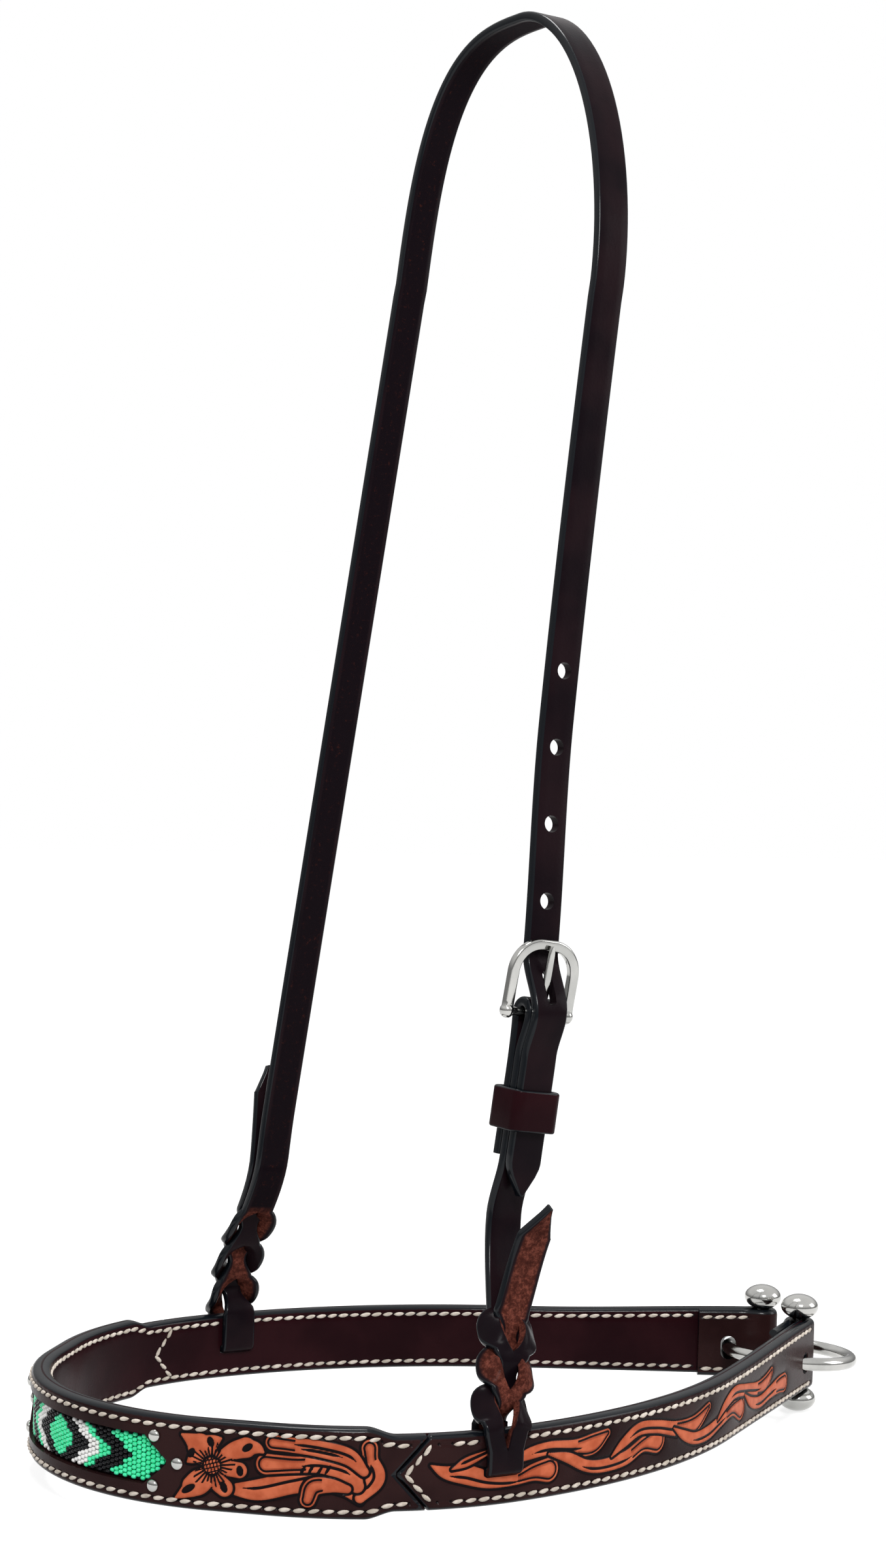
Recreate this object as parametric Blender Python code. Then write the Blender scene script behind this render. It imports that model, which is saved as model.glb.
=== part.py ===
"""A beaded western noseband on an over-the-poll hanger, as separate pieces.

X runs from the nose towards the chin, Y from the near side (minus) to the far side,
and Z up. The origin is under the top of the hanger, where it rests on the poll.
"""

import math

import bmesh
import bpy
from mathutils import Matrix, Vector

MM = 0.001

# Clearances and small shared sizes
seat_gap = 0.3 * MM
overrun = 2.0 * MM
edge_chamfer = 0.8 * MM
thin_chamfer = 0.3 * MM

# Whole object
hanger_height = 500.0 * MM
nose_reach = 170.5 * MM

# Plan line of the band's outer face, from the nose to one pin
nose_radius = 82.6 * MM
nose_turn = math.radians(45.0)
shoulder_run = 16.5 * MM
shoulder_radius = 106.8 * MM
rear_radius = 217.0 * MM
pin_half_spacing = 10.7 * MM
rear_run = 99.6 * MM
rear_lift = 0.9 * MM
rear_rise_run = 90.0 * MM

# Leather of the band
side_height = 23.8 * MM
rear_height = 26.0 * MM
nose_height = 28.6 * MM
lining_thickness = 3.0 * MM
outer_thickness = 3.3 * MM
taper_length = 10.0 * MM

# Splice between the nose piece and the side straps
splice_run_near = 123.4 * MM
splice_run_far = 135.0 * MM
splice_point_length = 10.5 * MM
splice_tip_height = 1.2 * MM
prong_gap = 1.2 * MM

# Window, beads and nails
window_half_length = 50.0 * MM
window_point_length = 8.0 * MM
window_height = 15.6 * MM
window_tip_height = 1.4 * MM
window_end_gap = 0.9 * MM
backing_thickness = 0.7 * MM
bead_thickness = 1.9 * MM
felt_chamfer = 0.1 * MM
nail_head_radius = 2.0 * MM
nail_head_height = 1.3 * MM
nail_shank_radius = 0.6 * MM
nail_shank_length = 2.2 * MM
nail_point_offset = 4.0 * MM
nail_flank_offset = 4.2 * MM
nail_flank_height = 7.8 * MM
nail_dome_share = 0.93

# Ends: pins, fold and ring
pin_radius = 2.2 * MM
ball_radius = 6.6 * MM
ball_half_height = 4.4 * MM
ball_seat_radius = 3.2 * MM
ball_turn_share = 0.97
turn_back_length = 25.0 * MM
turn_back_blend = 9.0 * MM
lining_end_gap = 1.2 * MM
ring_mid_radius = 23.5 * MM
ring_wire_radius = 2.5 * MM
ring_forward = 5.0 * MM
ring_hole_clearance = 0.8 * MM
ring_hole_height = 10.4 * MM
ring_drop = 1.8 * MM
ring_tilt = math.radians(4.0)

# Hanger straps
strap_width = 12.7 * MM
strap_thickness = 3.4 * MM
hole_radius = 2.8 * MM
hole_spacing = 25.4 * MM
hole_count = 5
strap_point_length = 11.0 * MM
strap_tip_shares = ((0.0, 0.14), (0.3, 0.55), (0.65, 0.85), (1.0, 1.0))

poll_half_span_near = 64.0 * MM
poll_half_span_far = 57.0 * MM
poll_rise_near = 105.0 * MM
poll_rise_far = 91.0 * MM
poll_power_near = 1.8
poll_power_far = 3.0
leg_flare_near = 25.0 * MM
leg_flare_far = 20.0 * MM
leg_flare_power_near = 2.4
leg_flare_power_far = 1.0
leg_lean_share_near = 0.113
leg_lean_share_far = 0.119

# Knots
knot_run_near = 158.6 * MM
knot_run_far = 175.5 * MM
knot_strap_thickness = 2.8 * MM
slot_height = 11.2 * MM
slot_clearance = 0.35 * MM
slot_bend_radius = 0.3 * MM
knot_start_height = 24.5 * MM
knot_pitch_near = 10.8 * MM
knot_pitch_far = 13.6 * MM
knot_wave = 4.0 * MM
slit_foot_height = 18.0 * MM
slit_foot_opening = 2.2 * MM
knot_top = 86.0 * MM
settle_length = 38.0 * MM
lap_swing = 6.5 * MM
pinch_half_width = 4.6 * MM
slit_twist = math.radians(62.0)
slit_open_share = 1.5
knot_top_shares = (1.0, 0.66, 0.33)
tail_length_near = 35.0 * MM
tail_length_far = 53.0 * MM
tail_point_length = 10.0 * MM
tail_spread_near = 23.0 * MM
tail_spread_far = 9.5 * MM
tail_power_near = 1.0
tail_power_far = 1.5
tail_shares = (0.25, 0.5, 0.75, 1.0)
tail_point_shares = ((0.6, 0.66), (1.0, 0.14))

# Buckle and keeper
buckle_bar_height = 151.4 * MM
buckle_width = 27.5 * MM
buckle_length = 20.8 * MM
buckle_rim_width = 3.6 * MM
buckle_rim_thickness = 2.8 * MM
bar_radius = 1.5 * MM
bar_end_share = 0.25
frame_gap = 0.6 * MM
frame_lean = math.radians(9.0)
frame_relax = 75.0 * MM
buckle_corner_radius = 9.5 * MM
tongue_width = 2.4 * MM
tongue_thickness = 1.6 * MM
tongue_rest_gap = 0.4 * MM
tongue_curl = math.radians(292.0)
tongue_shares = ((0.3, 1.0), (0.75, 0.9), (0.96, 0.75), (1.0, 0.45))
tongue_slot_clearance = 1.2 * MM
fold_slot_length = 11.0 * MM
tongue_hole_rise = 11.2 * MM
tongue_hole_stretch = 10.0 * MM
keeper_height = 13.6 * MM
keeper_thickness = 2.2 * MM
keeper_drop = 30.8 * MM
keeper_clearance = 0.55 * MM
keeper_corner_share = 1.1
crown_tip_drop = 58.5 * MM
cheek_turn_back = 46.0 * MM

# Worked out from the sizes above
band_floor = strap_thickness - hanger_height
band_middle = band_floor + side_height / 2.0
rear_middle = band_middle + rear_lift
lining_depth = outer_thickness + seat_gap
band_thickness = lining_depth + lining_thickness
knot_reach = (band_thickness + knot_strap_thickness) / 2.0 + seat_gap
bar_offset = bar_radius + seat_gap + strap_thickness / 2.0
layer_pitch = strap_thickness + seat_gap
tongue_offset = bar_radius + seat_gap + tongue_thickness / 2.0
pin_depth = outer_thickness + seat_gap + pin_radius
shoulder_turn = math.pi / 2.0 - nose_turn
nose_arc_run = nose_radius * nose_turn
shoulder_arc_run = shoulder_radius * shoulder_turn
band_half_width = (nose_radius * math.sin(nose_turn) + shoulder_run * math.cos(nose_turn)
                   + shoulder_radius * (1.0 - math.sin(nose_turn)))
pin_reach = math.hypot(pin_depth - rear_radius, rear_run)
rear_turn = (math.atan2(rear_run, pin_depth - rear_radius)
             - math.acos((band_half_width - rear_radius - pin_half_spacing) / pin_reach))
rear_arc_run = rear_radius * rear_turn
half_run = nose_arc_run + shoulder_run + shoulder_arc_run + rear_arc_run + rear_run
half_width = strap_width / 2.0
turn_back_height = buckle_bar_height - cheek_turn_back


def make_material(name, colour, roughness, metallic):
    """A Principled material in one colour."""
    material = bpy.data.materials.new(name)
    material.use_nodes = True
    shader = material.node_tree.nodes["Principled BSDF"]
    shader.inputs["Base Color"].default_value = (*colour, 1.0)
    shader.inputs["Roughness"].default_value = roughness
    shader.inputs["Metallic"].default_value = metallic
    material.diffuse_color = (*colour, 1.0)
    return material


def make_object(name, vertices, faces, material, smooth_angle=40.0):
    """A mesh object from points and faces, its faces turned outwards."""
    mesh = bpy.data.meshes.new(name)
    mesh.from_pydata([tuple(point) for point in vertices], [], faces)
    shell = bmesh.new()
    shell.from_mesh(mesh)
    bmesh.ops.recalc_face_normals(shell, faces=shell.faces)
    shell.to_mesh(mesh)
    shell.free()
    mesh.shade_smooth()
    mesh.set_sharp_from_angle(angle=math.radians(smooth_angle))
    mesh.materials.append(material)
    item = bpy.data.objects.new(name, mesh)
    bpy.context.scene.collection.objects.link(item)
    return item


def place_at(item, origin):
    """Move the origin of an object to a point, with its surface where it was."""
    item.data.transform(Matrix.Translation(-Vector(origin)))
    item.location = origin
    return item


def cut(item, cutter):
    """Take the cutter's volume out of the item."""
    cutter.hide_render = True
    cutter.display_type = "WIRE"
    boolean = item.modifiers.new("cut " + cutter.name, "BOOLEAN")
    boolean.operation = "DIFFERENCE"
    boolean.solver = "EXACT"
    boolean.object = cutter


def joined_rings(rings):
    """Points and faces of a closed tube through rings of equal length."""
    count = len(rings[0])
    vertices = [point for ring in rings for point in ring]
    faces = []
    for row in range(len(rings) - 1):
        for column in range(count):
            after = (column + 1) % count
            faces.append((row * count + column, row * count + after,
                          (row + 1) * count + after, (row + 1) * count + column))
    faces.append(tuple(range(count))[::-1])
    faces.append(tuple((len(rings) - 1) * count + column for column in range(count)))
    return vertices, faces


def plan_point(run, depth):
    """Point and outward direction on the band's plan, `depth` inside its outer line."""
    side = 1.0 if run >= 0.0 else -1.0
    left = abs(run)
    heading = -math.pi / 2.0
    place = Vector((-nose_reach, 0.0))
    pieces = ((nose_arc_run, nose_radius), (shoulder_run, 0.0), (shoulder_arc_run, shoulder_radius),
              (rear_arc_run, rear_radius), (rear_run * 2.0, 0.0))
    for length, radius in pieces:
        step = min(left, length)
        if radius > 0.0:
            turn = step / radius
            centre = place + Vector((-math.sin(heading), math.cos(heading))) * radius
            heading += turn
            place = centre - Vector((-math.sin(heading), math.cos(heading))) * radius
        else:
            place = place + Vector((math.cos(heading), math.sin(heading))) * step
        left -= step
        if left <= 0.0:
            break
    outward = Vector((math.sin(heading), -math.cos(heading)))
    inner = place - outward * depth
    return Vector((inner.x, side * inner.y, 0.0)), Vector((outward.x, side * outward.y, 0.0))


def plan_stations(first, last, extra=()):
    """Runs along the band between two ends, closer where the plan line bends."""
    marks = {0.0}
    start = 0.0
    for length, count in ((nose_arc_run, 8), (shoulder_run, 1), (shoulder_arc_run, 7),
                          (rear_arc_run, 8), (rear_run, 4)):
        for step in range(1, count + 1):
            marks.add(start + length * step / count)
        start += length
    both = sorted({-mark for mark in marks} | marks)
    inside = [mark for mark in both if first < mark < last]
    spots = sorted(inside + [first, last] + [mark for mark in extra if first < mark < last])
    kept = [spots[0]]
    for mark in spots[1:]:
        if mark - kept[-1] > seat_gap:
            kept.append(mark)
    return kept


def section(outside, inside, low, high, chamfer):
    """Corners of a strap's section as (depth, height) pairs: eight, or four with no chamfer."""
    if chamfer == 0.0:
        return [(outside, low), (outside, high), (inside, high), (inside, low)]
    trim = min(chamfer, (inside - outside) / 3.0, (high - low) / 3.0)
    return [(outside, low + trim), (outside, high - trim), (outside + trim, high), (inside - trim, high),
            (inside, high - trim), (inside, low + trim), (inside - trim, low), (outside + trim, low)]


def band_layer(name, stations, outside, inside, edges, material, chamfer=edge_chamfer):
    """A layer of the band; `edges` gives its lower and upper edge at each run."""
    rings = []
    for run in stations:
        low, high = edges(run)
        ring = []
        for depth, height in section(outside, inside, low, high, chamfer):
            point, _ = plan_point(run, depth)
            ring.append(Vector((point.x, point.y, height)))
        rings.append(ring)
    vertices, faces = joined_rings(rings)
    return make_object(name, vertices, faces, material)


def ease(share):
    """A share held between 0 and 1 and eased at both ends."""
    held = min(max(share, 0.0), 1.0)
    return held * held * (3.0 - 2.0 * held)


def middle_at(run):
    """Height of the band's middle line, which rises a little towards the pins."""
    return band_middle + rear_lift * ease((abs(run) - half_run + rear_rise_run) / rear_rise_run)


def side_half(run):
    """Half the height of a side strap, which grows a little towards the pins."""
    share = ease((abs(run) - half_run + rear_rise_run) / rear_rise_run)
    return (side_height + (rear_height - side_height) * share) / 2.0


def band_edges(run):
    """Lower and upper edge of the band: high over the nose, lower along the sides."""
    end = -splice_run_far if run < 0.0 else splice_run_near
    past = (abs(run) - (abs(end) - taper_length)) / taper_length
    half = side_half(run) + (nose_height - side_height) / 2.0 * (1.0 - ease(past))
    return middle_at(run) - half, middle_at(run) + half


def splice_edges(side, grow):
    """Edges of a side strap, drawn to a point at its front end."""
    tip = splice_run_near if side > 0.0 else splice_run_far

    def edges(run):
        share = (abs(run) - tip + grow) / splice_point_length
        half = splice_tip_height / 2.0 + (side_height - splice_tip_height) / 2.0 * share + grow
        half = min(half, side_half(run) + grow)
        return middle_at(run) - half, middle_at(run) + half

    return edges


def window_edges(grow):
    """Edges of the bead window, pointed at both ends."""
    def edges(run):
        share = (window_half_length - abs(run) + grow) / window_point_length
        half = window_tip_height / 2.0 + (window_height - window_tip_height) / 2.0 * min(share, 1.0)
        half = min(half, window_height / 2.0) + grow
        return band_middle - half, band_middle + half

    return edges


def fold_course(side):
    """Centre line of a side strap: along the outside, round its pin and back inside."""
    tip = splice_run_near if side > 0.0 else splice_run_far
    course = []
    stations = plan_stations(tip, half_run, (tip + splice_point_length,))
    for run in stations:
        point, outward = plan_point(side * run, outer_thickness / 2.0)
        course.append((point, outward, run))
    centre, outward = plan_point(side * half_run, pin_depth)
    along = Vector((-outward.y, outward.x, 0.0)) * side
    radius = pin_radius + seat_gap + outer_thickness / 2.0
    steps = 8
    for step in range(1, steps + 1):
        angle = math.pi * step / steps
        facing = outward * math.cos(angle) + along * math.sin(angle)
        course.append((centre + facing * radius, facing, half_run))
    rest_depth = band_thickness + seat_gap + outer_thickness / 2.0
    bend_depth = pin_depth + radius
    count = 6
    for step in range(1, count + 1):
        share = step / count
        back = turn_back_length * share
        depth = bend_depth + (rest_depth - bend_depth) * ease(back / turn_back_blend)
        point, out = plan_point(side * (half_run - back), depth)
        course.append((point, -out, half_run - back))
    return course


def side_strap(name, side, material):
    """The outer strap of one side, from its point to its turned back end."""
    edges = splice_edges(side, 0.0)
    rings = []
    half = outer_thickness / 2.0
    for point, facing, run in fold_course(side):
        low, high = edges(run)
        ring = []
        for depth, height in section(-half, half, low, high, edge_chamfer):
            place = point - facing * depth
            ring.append(Vector((place.x, place.y, height)))
        rings.append(ring)
    vertices, faces = joined_rings(rings)
    return make_object(name, vertices, faces, material)


def turned(name, profile, segments, material, axis_point):
    """A body of revolution about an upright axis; the profile runs up from the axis."""
    rings = []
    for radius, height in profile:
        ring = []
        for step in range(segments):
            angle = math.tau * step / segments
            ring.append(Vector((math.cos(angle) * radius, math.sin(angle) * radius, height)))
        rings.append(ring)
    vertices, faces = joined_rings(rings)
    item = make_object(name, vertices, faces, material)
    item.location = axis_point
    return item


def ball_profile(base, towards):
    """Profile of one flattened ball, from its seat to its tip."""
    points = []
    seat = math.asin(min(ball_seat_radius / ball_radius, 1.0))
    count = 7
    for step in range(count + 1):
        angle = seat + (math.pi * ball_turn_share - seat) * step / count
        height = (math.cos(seat) - math.cos(angle)) * ball_half_height
        points.append((math.sin(angle) * ball_radius, base + towards * height))
    return points


def ball_pin(name, side, material):
    """An upright pin with a flattened ball at each end."""
    centre, _ = plan_point(side * half_run, pin_depth)
    seat = rear_height / 2.0 + seat_gap
    lower = ball_profile(-seat, -1.0)
    upper = ball_profile(seat, 1.0)
    profile = lower[::-1] + [(pin_radius, -seat), (pin_radius, seat)] + upper
    item = turned(name, profile, 20, material, (centre.x, centre.y, rear_middle))
    return item


def ring_centre():
    """Centre of the ring while it lies level."""
    centre, _ = plan_point(half_run, pin_depth)
    return Vector((centre.x + ring_forward, 0.0, rear_middle - ring_drop))


def ring_crossing():
    """Angle round the ring, from the chin side, at which it crosses the near end of the band."""
    place = ring_centre()
    low, high = 0.0, ring_mid_radius
    for _ in range(40):
        middle = (low + high) / 2.0
        point, _ = plan_point(half_run - middle, band_thickness / 2.0)
        if math.hypot(point.x - place.x, point.y) < ring_mid_radius:
            low = middle
        else:
            high = middle
    point, _ = plan_point(half_run - low, band_thickness / 2.0)
    return math.atan2(-point.y, point.x - place.x)


def ring_hinge():
    """Middle of the line through both holes, about which the ring swings."""
    return ring_centre() + Vector((math.cos(ring_crossing()) * ring_mid_radius, 0.0, 0.0))


def tie_ring(material, around=48, across=12):
    """The round ring through both ends of the band, hung a little low at the chin side."""
    hinge = ring_hinge()
    centre = ring_centre() - hinge
    vertices = []
    faces = []
    for step in range(around):
        angle = math.tau * step / around
        for turn in range(across):
            bend = math.tau * turn / across
            reach = ring_mid_radius + ring_wire_radius * math.cos(bend)
            vertices.append(centre + Vector((reach * math.cos(angle), reach * math.sin(angle),
                                             ring_wire_radius * math.sin(bend))))
    for step in range(around):
        for turn in range(across):
            ahead = (step + 1) % around
            beside = (turn + 1) % across
            faces.append((step * across + turn, ahead * across + turn,
                          ahead * across + beside, step * across + beside))
    item = make_object("tie_ring", vertices, faces, material, 60.0)
    item.location = hinge
    item.rotation_euler = (0.0, ring_tilt, 0.0)
    return item


def ring_hole(side, label):
    """A stretched punch that follows the ring through one end of the band."""
    place = ring_centre()
    middle = ring_crossing() * side
    sweep = (band_thickness + outer_thickness + overrun) / ring_mid_radius
    radius = ring_wire_radius + ring_hole_clearance
    rings = []
    count = 16
    steps = 6
    for step in range(steps + 1):
        angle = middle + sweep * (2.0 * step / steps - 1.0)
        ring = []
        for turn in range(count):
            bend = math.tau * turn / count
            reach = ring_mid_radius + math.cos(bend) * radius
            rise = math.sin(bend) * radius
            rise += math.copysign(ring_hole_height / 2.0 - radius, rise)
            ring.append(place + Vector((reach * math.cos(angle), -reach * math.sin(angle), rise)))
        rings.append(ring)
    vertices, faces = joined_rings(rings)
    return make_object("ring_hole_" + label, vertices, faces, steel)


def knot_frame(side):
    """Origin at the foot of a knot, and the along and outward directions there."""
    run = knot_run_near if side > 0.0 else -knot_run_far
    point, outward = plan_point(run, band_thickness / 2.0)
    along = Vector((-outward.y, outward.x, 0.0)) * side
    return Vector((point.x, point.y, band_floor)), along, outward


def leg_sizes(side):
    """Half span, rise and power of one side of the poll, then its leg's flare, its power and lean."""
    if side > 0.0:
        return (poll_half_span_near, poll_rise_near, poll_power_near,
                leg_flare_near, leg_flare_power_near, leg_lean_share_near)
    return (poll_half_span_far, poll_rise_far, poll_power_far,
            leg_flare_far, leg_flare_power_far, leg_lean_share_far)


def leg_centre(side, height):
    """Centre line of a leg at a height above the band's lower edge."""
    foot, _, _ = knot_frame(side)
    half_span, poll_rise, _, flare, flare_power, lean = leg_sizes(side)
    shoulder = hanger_height - poll_rise
    drop = max(shoulder - height, 0.0) / shoulder
    span = half_span + flare * drop ** flare_power
    if side > 0.0:
        span -= lap_swing * ease((buckle_bar_height - height) / (buckle_bar_height - knot_top))
    fore = -lean * (hanger_height - height)
    share = (height - knot_start_height) / (knot_top - knot_start_height)
    held = min(max(share, 0.0), 1.0)
    x = foot.x + (fore - foot.x) * math.sin(math.pi / 2.0 * held)
    y = foot.y + (-side * span - foot.y) * ease(share)
    return Vector((x, y, band_floor + height))


def poll_centre(share):
    """Centre line over the poll, from the near shoulder (-1) to the far one (+1)."""
    turn = math.pi / 2.0 * (1.0 - abs(share))
    side = 1.0 if share > 0.0 else -1.0
    half_span, poll_rise, poll_power, _, _, lean = leg_sizes(-side)
    power = 2.0 / poll_power
    rise = poll_rise - strap_thickness / 2.0
    height = hanger_height - poll_rise + rise * math.sin(turn) ** power
    y = side * half_span * max(math.cos(turn), 0.0) ** power
    x = -lean * (hanger_height - strap_thickness / 2.0 - height)
    return Vector((x, y, band_floor + height))


def leg_axes(height):
    """Across, upward and outward directions of the near leg at a height."""
    upward = (leg_centre(1.0, height + hole_spacing) - leg_centre(1.0, height)).normalized()
    across = (Vector((1.0, 0.0, 0.0)) - upward * upward.x).normalized()
    return across, upward, across.cross(upward)


def row(place, half=half_width, thickness=strap_thickness, opening=0.0, twist=0.0, across=None):
    """One station of a strap."""
    return {"place": place, "half": half, "thickness": thickness, "opening": opening, "twist": twist,
            "across": across or Vector((1.0, 0.0, 0.0))}


def half_profile(half, thickness, chamfer):
    """Outline of half a strap's section, from its middle round its edge and back."""
    skin = thickness / 2.0
    trim = min(chamfer, skin / 2.0, half / 2.0)
    return [(0.0, skin), (half - trim, skin), (half, skin - trim),
            (half, trim - skin), (half - trim, -skin), (0.0, -skin)]


def strap(name, rows, material, turn=1.0):
    """A strap swept through its stations; where one has an opening the strap is slit in two."""
    vertices = []
    index_rows = []
    for number, station in enumerate(rows):
        before = rows[max(number - 1, 0)]["place"]
        after = rows[min(number + 1, len(rows) - 1)]["place"]
        tangent = (after - before).normalized()
        across = station["across"] * turn
        across = (across - tangent * across.dot(tangent)).normalized()
        normal = across.cross(tangent)
        centre = station["place"]
        skin = station["thickness"] / 2.0
        slit = station["opening"] > 0.0
        indices = {}
        for side in (1, -1):
            ring = []
            for spot, (reach, level) in enumerate(half_profile(station["half"], station["thickness"],
                                                              edge_chamfer)):
                middle = reach == 0.0
                if middle and not slit and side < 0:
                    ring.append(indices[1][spot])
                    continue
                if slit:
                    lift = station["twist"]
                    quarter = station["half"] / 2.0
                    out = station["opening"] + quarter * math.cos(lift) + skin * abs(math.sin(lift))
                    away = side * out + (reach - quarter) * side * math.cos(lift)
                    away += level * side * math.sin(lift)
                    rise = -(reach - quarter) * math.sin(lift) + level * math.cos(lift)
                else:
                    away = side * reach
                    rise = level
                ring.append(len(vertices))
                vertices.append(centre + across * away + normal * rise)
            indices[side] = ring
        index_rows.append((indices, slit))
    faces = []
    for first, second in zip(index_rows, index_rows[1:]):
        for side in (1, -1):
            a, b = first[0][side], second[0][side]
            for spot in range(len(a) - 1):
                faces.append((a[spot], a[spot + 1], b[spot + 1], b[spot]))
            if first[1] or second[1]:
                faces.append((a[-1], a[0], b[0], b[-1]))
    for indices, _ in (index_rows[0], index_rows[-1]):
        faces.append(tuple(indices[1] + indices[-1][-2:0:-1]))
    return make_object(name, vertices, faces, material)


def knot_end(side):
    """Height at which a knot ends and its tail leaves the standing strap."""
    return knot_start_height + 3.0 * (knot_pitch_near if side > 0.0 else knot_pitch_far)


def slit_shape(share):
    """How far open, as a share, a slit is along its length."""
    return min(1.0, slit_open_share * math.sin(math.pi * share))


def knot_place(side, height, offset):
    """A point of a knot: at a height over the band's lower edge, offset outwards."""
    _, _, outward = knot_frame(side)
    return leg_centre(side, height) + outward * offset


def knot_rows(side, first, steps_each=7):
    """Stations up one part of a knot: the first part is outside at the band, the other inside."""
    _, along, _ = knot_frame(side)
    across = along * -side
    rows = []
    sign = 1.0 if first else -1.0
    open_parity = 0 if first else 1
    skin = knot_strap_thickness
    pitch = (knot_end(side) - knot_start_height) / 3.0
    if first:
        steps = 3
        for step in range(steps):
            height = slit_foot_height + (knot_start_height - slit_foot_height) * step / steps
            place = knot_place(side, height, knot_reach)
            rows.append(row(place, half_width, skin, slit_foot_opening * step / steps, 0.0, across))
    for stage in range(3):
        slit = stage % 2 == open_parity
        foot = slit_foot_opening if first and stage == 0 else 0.0
        for step in range(steps_each if stage < 2 else steps_each + 1):
            share = step / steps_each
            wave = math.cos(math.pi * (stage + share))
            fade = ease(stage + share)
            reach = knot_reach + (knot_wave - knot_reach) * fade
            height = knot_start_height + pitch * (stage + share)
            place = knot_place(side, height, sign * wave * reach)
            shape = slit_shape(share)
            if slit and (foot or step) and step < steps_each:
                opening = max((pinch_half_width + slot_clearance) * shape, foot * (1.0 - share))
                rows.append(row(place, half_width, skin, opening, sign * slit_twist * shape, across))
            elif slit:
                rows.append(row(place, half_width, skin, 0.0, 0.0, across))
            else:
                half = half_width + (pinch_half_width - half_width) * shape
                rows.append(row(place, half, skin, 0.0, 0.0, across))
    return rows


def slot_rows(side):
    """Stations of the bend through the band's slot, from the outside to the inside."""
    _, along, _ = knot_frame(side)
    across = along * -side
    skin = knot_strap_thickness
    bend = slot_bend_radius + skin / 2.0
    centre_height = slot_height + bend
    corner = knot_reach - bend
    rows = []
    steps = 4
    for end in (1.0, -1.0):
        for step in range(steps + 1):
            share = step if end > 0.0 else steps - step
            angle = math.pi / 2.0 * share / steps
            offset = end * (corner + bend * math.cos(angle))
            height = centre_height - bend * math.sin(angle)
            rows.append(row(knot_place(side, height, offset), half_width, skin, 0.0, 0.0, across))
    return rows


def tail_rows(side):
    """Stations of the loose tail above a knot, out to its pointed tip."""
    _, along, _ = knot_frame(side)
    across = along * -side
    length = tail_length_near if side > 0.0 else tail_length_far
    spread = tail_spread_near if side > 0.0 else tail_spread_far
    power = tail_power_near if side > 0.0 else tail_power_far
    top = knot_end(side)
    rows = []
    straight = length - tail_point_length
    for share in tail_shares:
        rise = straight * share
        offset = knot_wave + spread * (rise / length) ** power
        rows.append(row(knot_place(side, top + rise, offset), half_width, knot_strap_thickness,
                        0.0, 0.0, across))
    for share, half_share in tail_point_shares:
        rise = straight + tail_point_length * share
        offset = knot_wave + spread * (rise / length) ** power
        rows.append(row(knot_place(side, top + rise, offset), half_width * half_share,
                        knot_strap_thickness, 0.0, 0.0, across))
    return rows


def standing_offset(side, height):
    """How far inside the leg's line the standing strap comes out of its knot."""
    return -knot_wave * (1.0 - ease((height - knot_end(side)) / settle_length))


def whole_knot(side):
    """Stations from the standing strap down through a knot, the slot and back up to the tail."""
    _, along, _ = knot_frame(side)
    across = along * -side
    top = knot_end(side)
    rows = []
    for share in knot_top_shares:
        height = top + (knot_top - top) * share
        offset = standing_offset(side, height)
        thickness = strap_thickness + (knot_strap_thickness - strap_thickness) * (1.0 - share)
        blend = Vector((-side, 0.0, 0.0)).lerp(across, 1.0 - share)
        rows.append(row(knot_place(side, height, offset), half_width, thickness, 0.0, 0.0, blend))
    return rows + knot_rows(side, True)[::-1] + slot_rows(side) + knot_rows(side, False) + tail_rows(side)


def near_offset(height):
    """How far the crown strap stands out from the near leg's line at a height."""
    low = layer_pitch * 2.0
    over = bar_offset * 2.0 + layer_pitch
    behind = (buckle_rim_thickness + strap_thickness) / 2.0 + frame_gap
    top = bar_offset + buckle_length * math.sin(frame_lean) - behind
    top_height = buckle_bar_height + buckle_length * math.cos(frame_lean)
    if height <= buckle_bar_height:
        return low + (over - low) * ease((height - buckle_bar_height + keeper_height) / keeper_height)
    if height <= top_height:
        share = (height - buckle_bar_height) / (top_height - buckle_bar_height)
        return over + (top - over) * ease(share)
    return top * (1.0 - ease((height - top_height) / frame_relax))


def lap_heights():
    """Heights of the stations that the lapped layers below the bar share."""
    steps = 5
    start = buckle_bar_height - keeper_height
    ramp = [start + keeper_height * step / steps for step in range(steps + 1)]
    return [buckle_bar_height - keeper_drop] + ramp


def cheek_offset(height):
    """How far out the standing cheek strap is, below the turned back end that lies inside it."""
    share = ease((height - knot_top) / (turn_back_height - knot_top))
    low = standing_offset(1.0, height)
    return low + (layer_pitch - low) * share


def near_place(height, offset):
    """A point at a height on the near leg, offset outwards from its line."""
    _, _, outward = leg_axes(height)
    return leg_centre(1.0, height) + outward * offset


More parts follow.
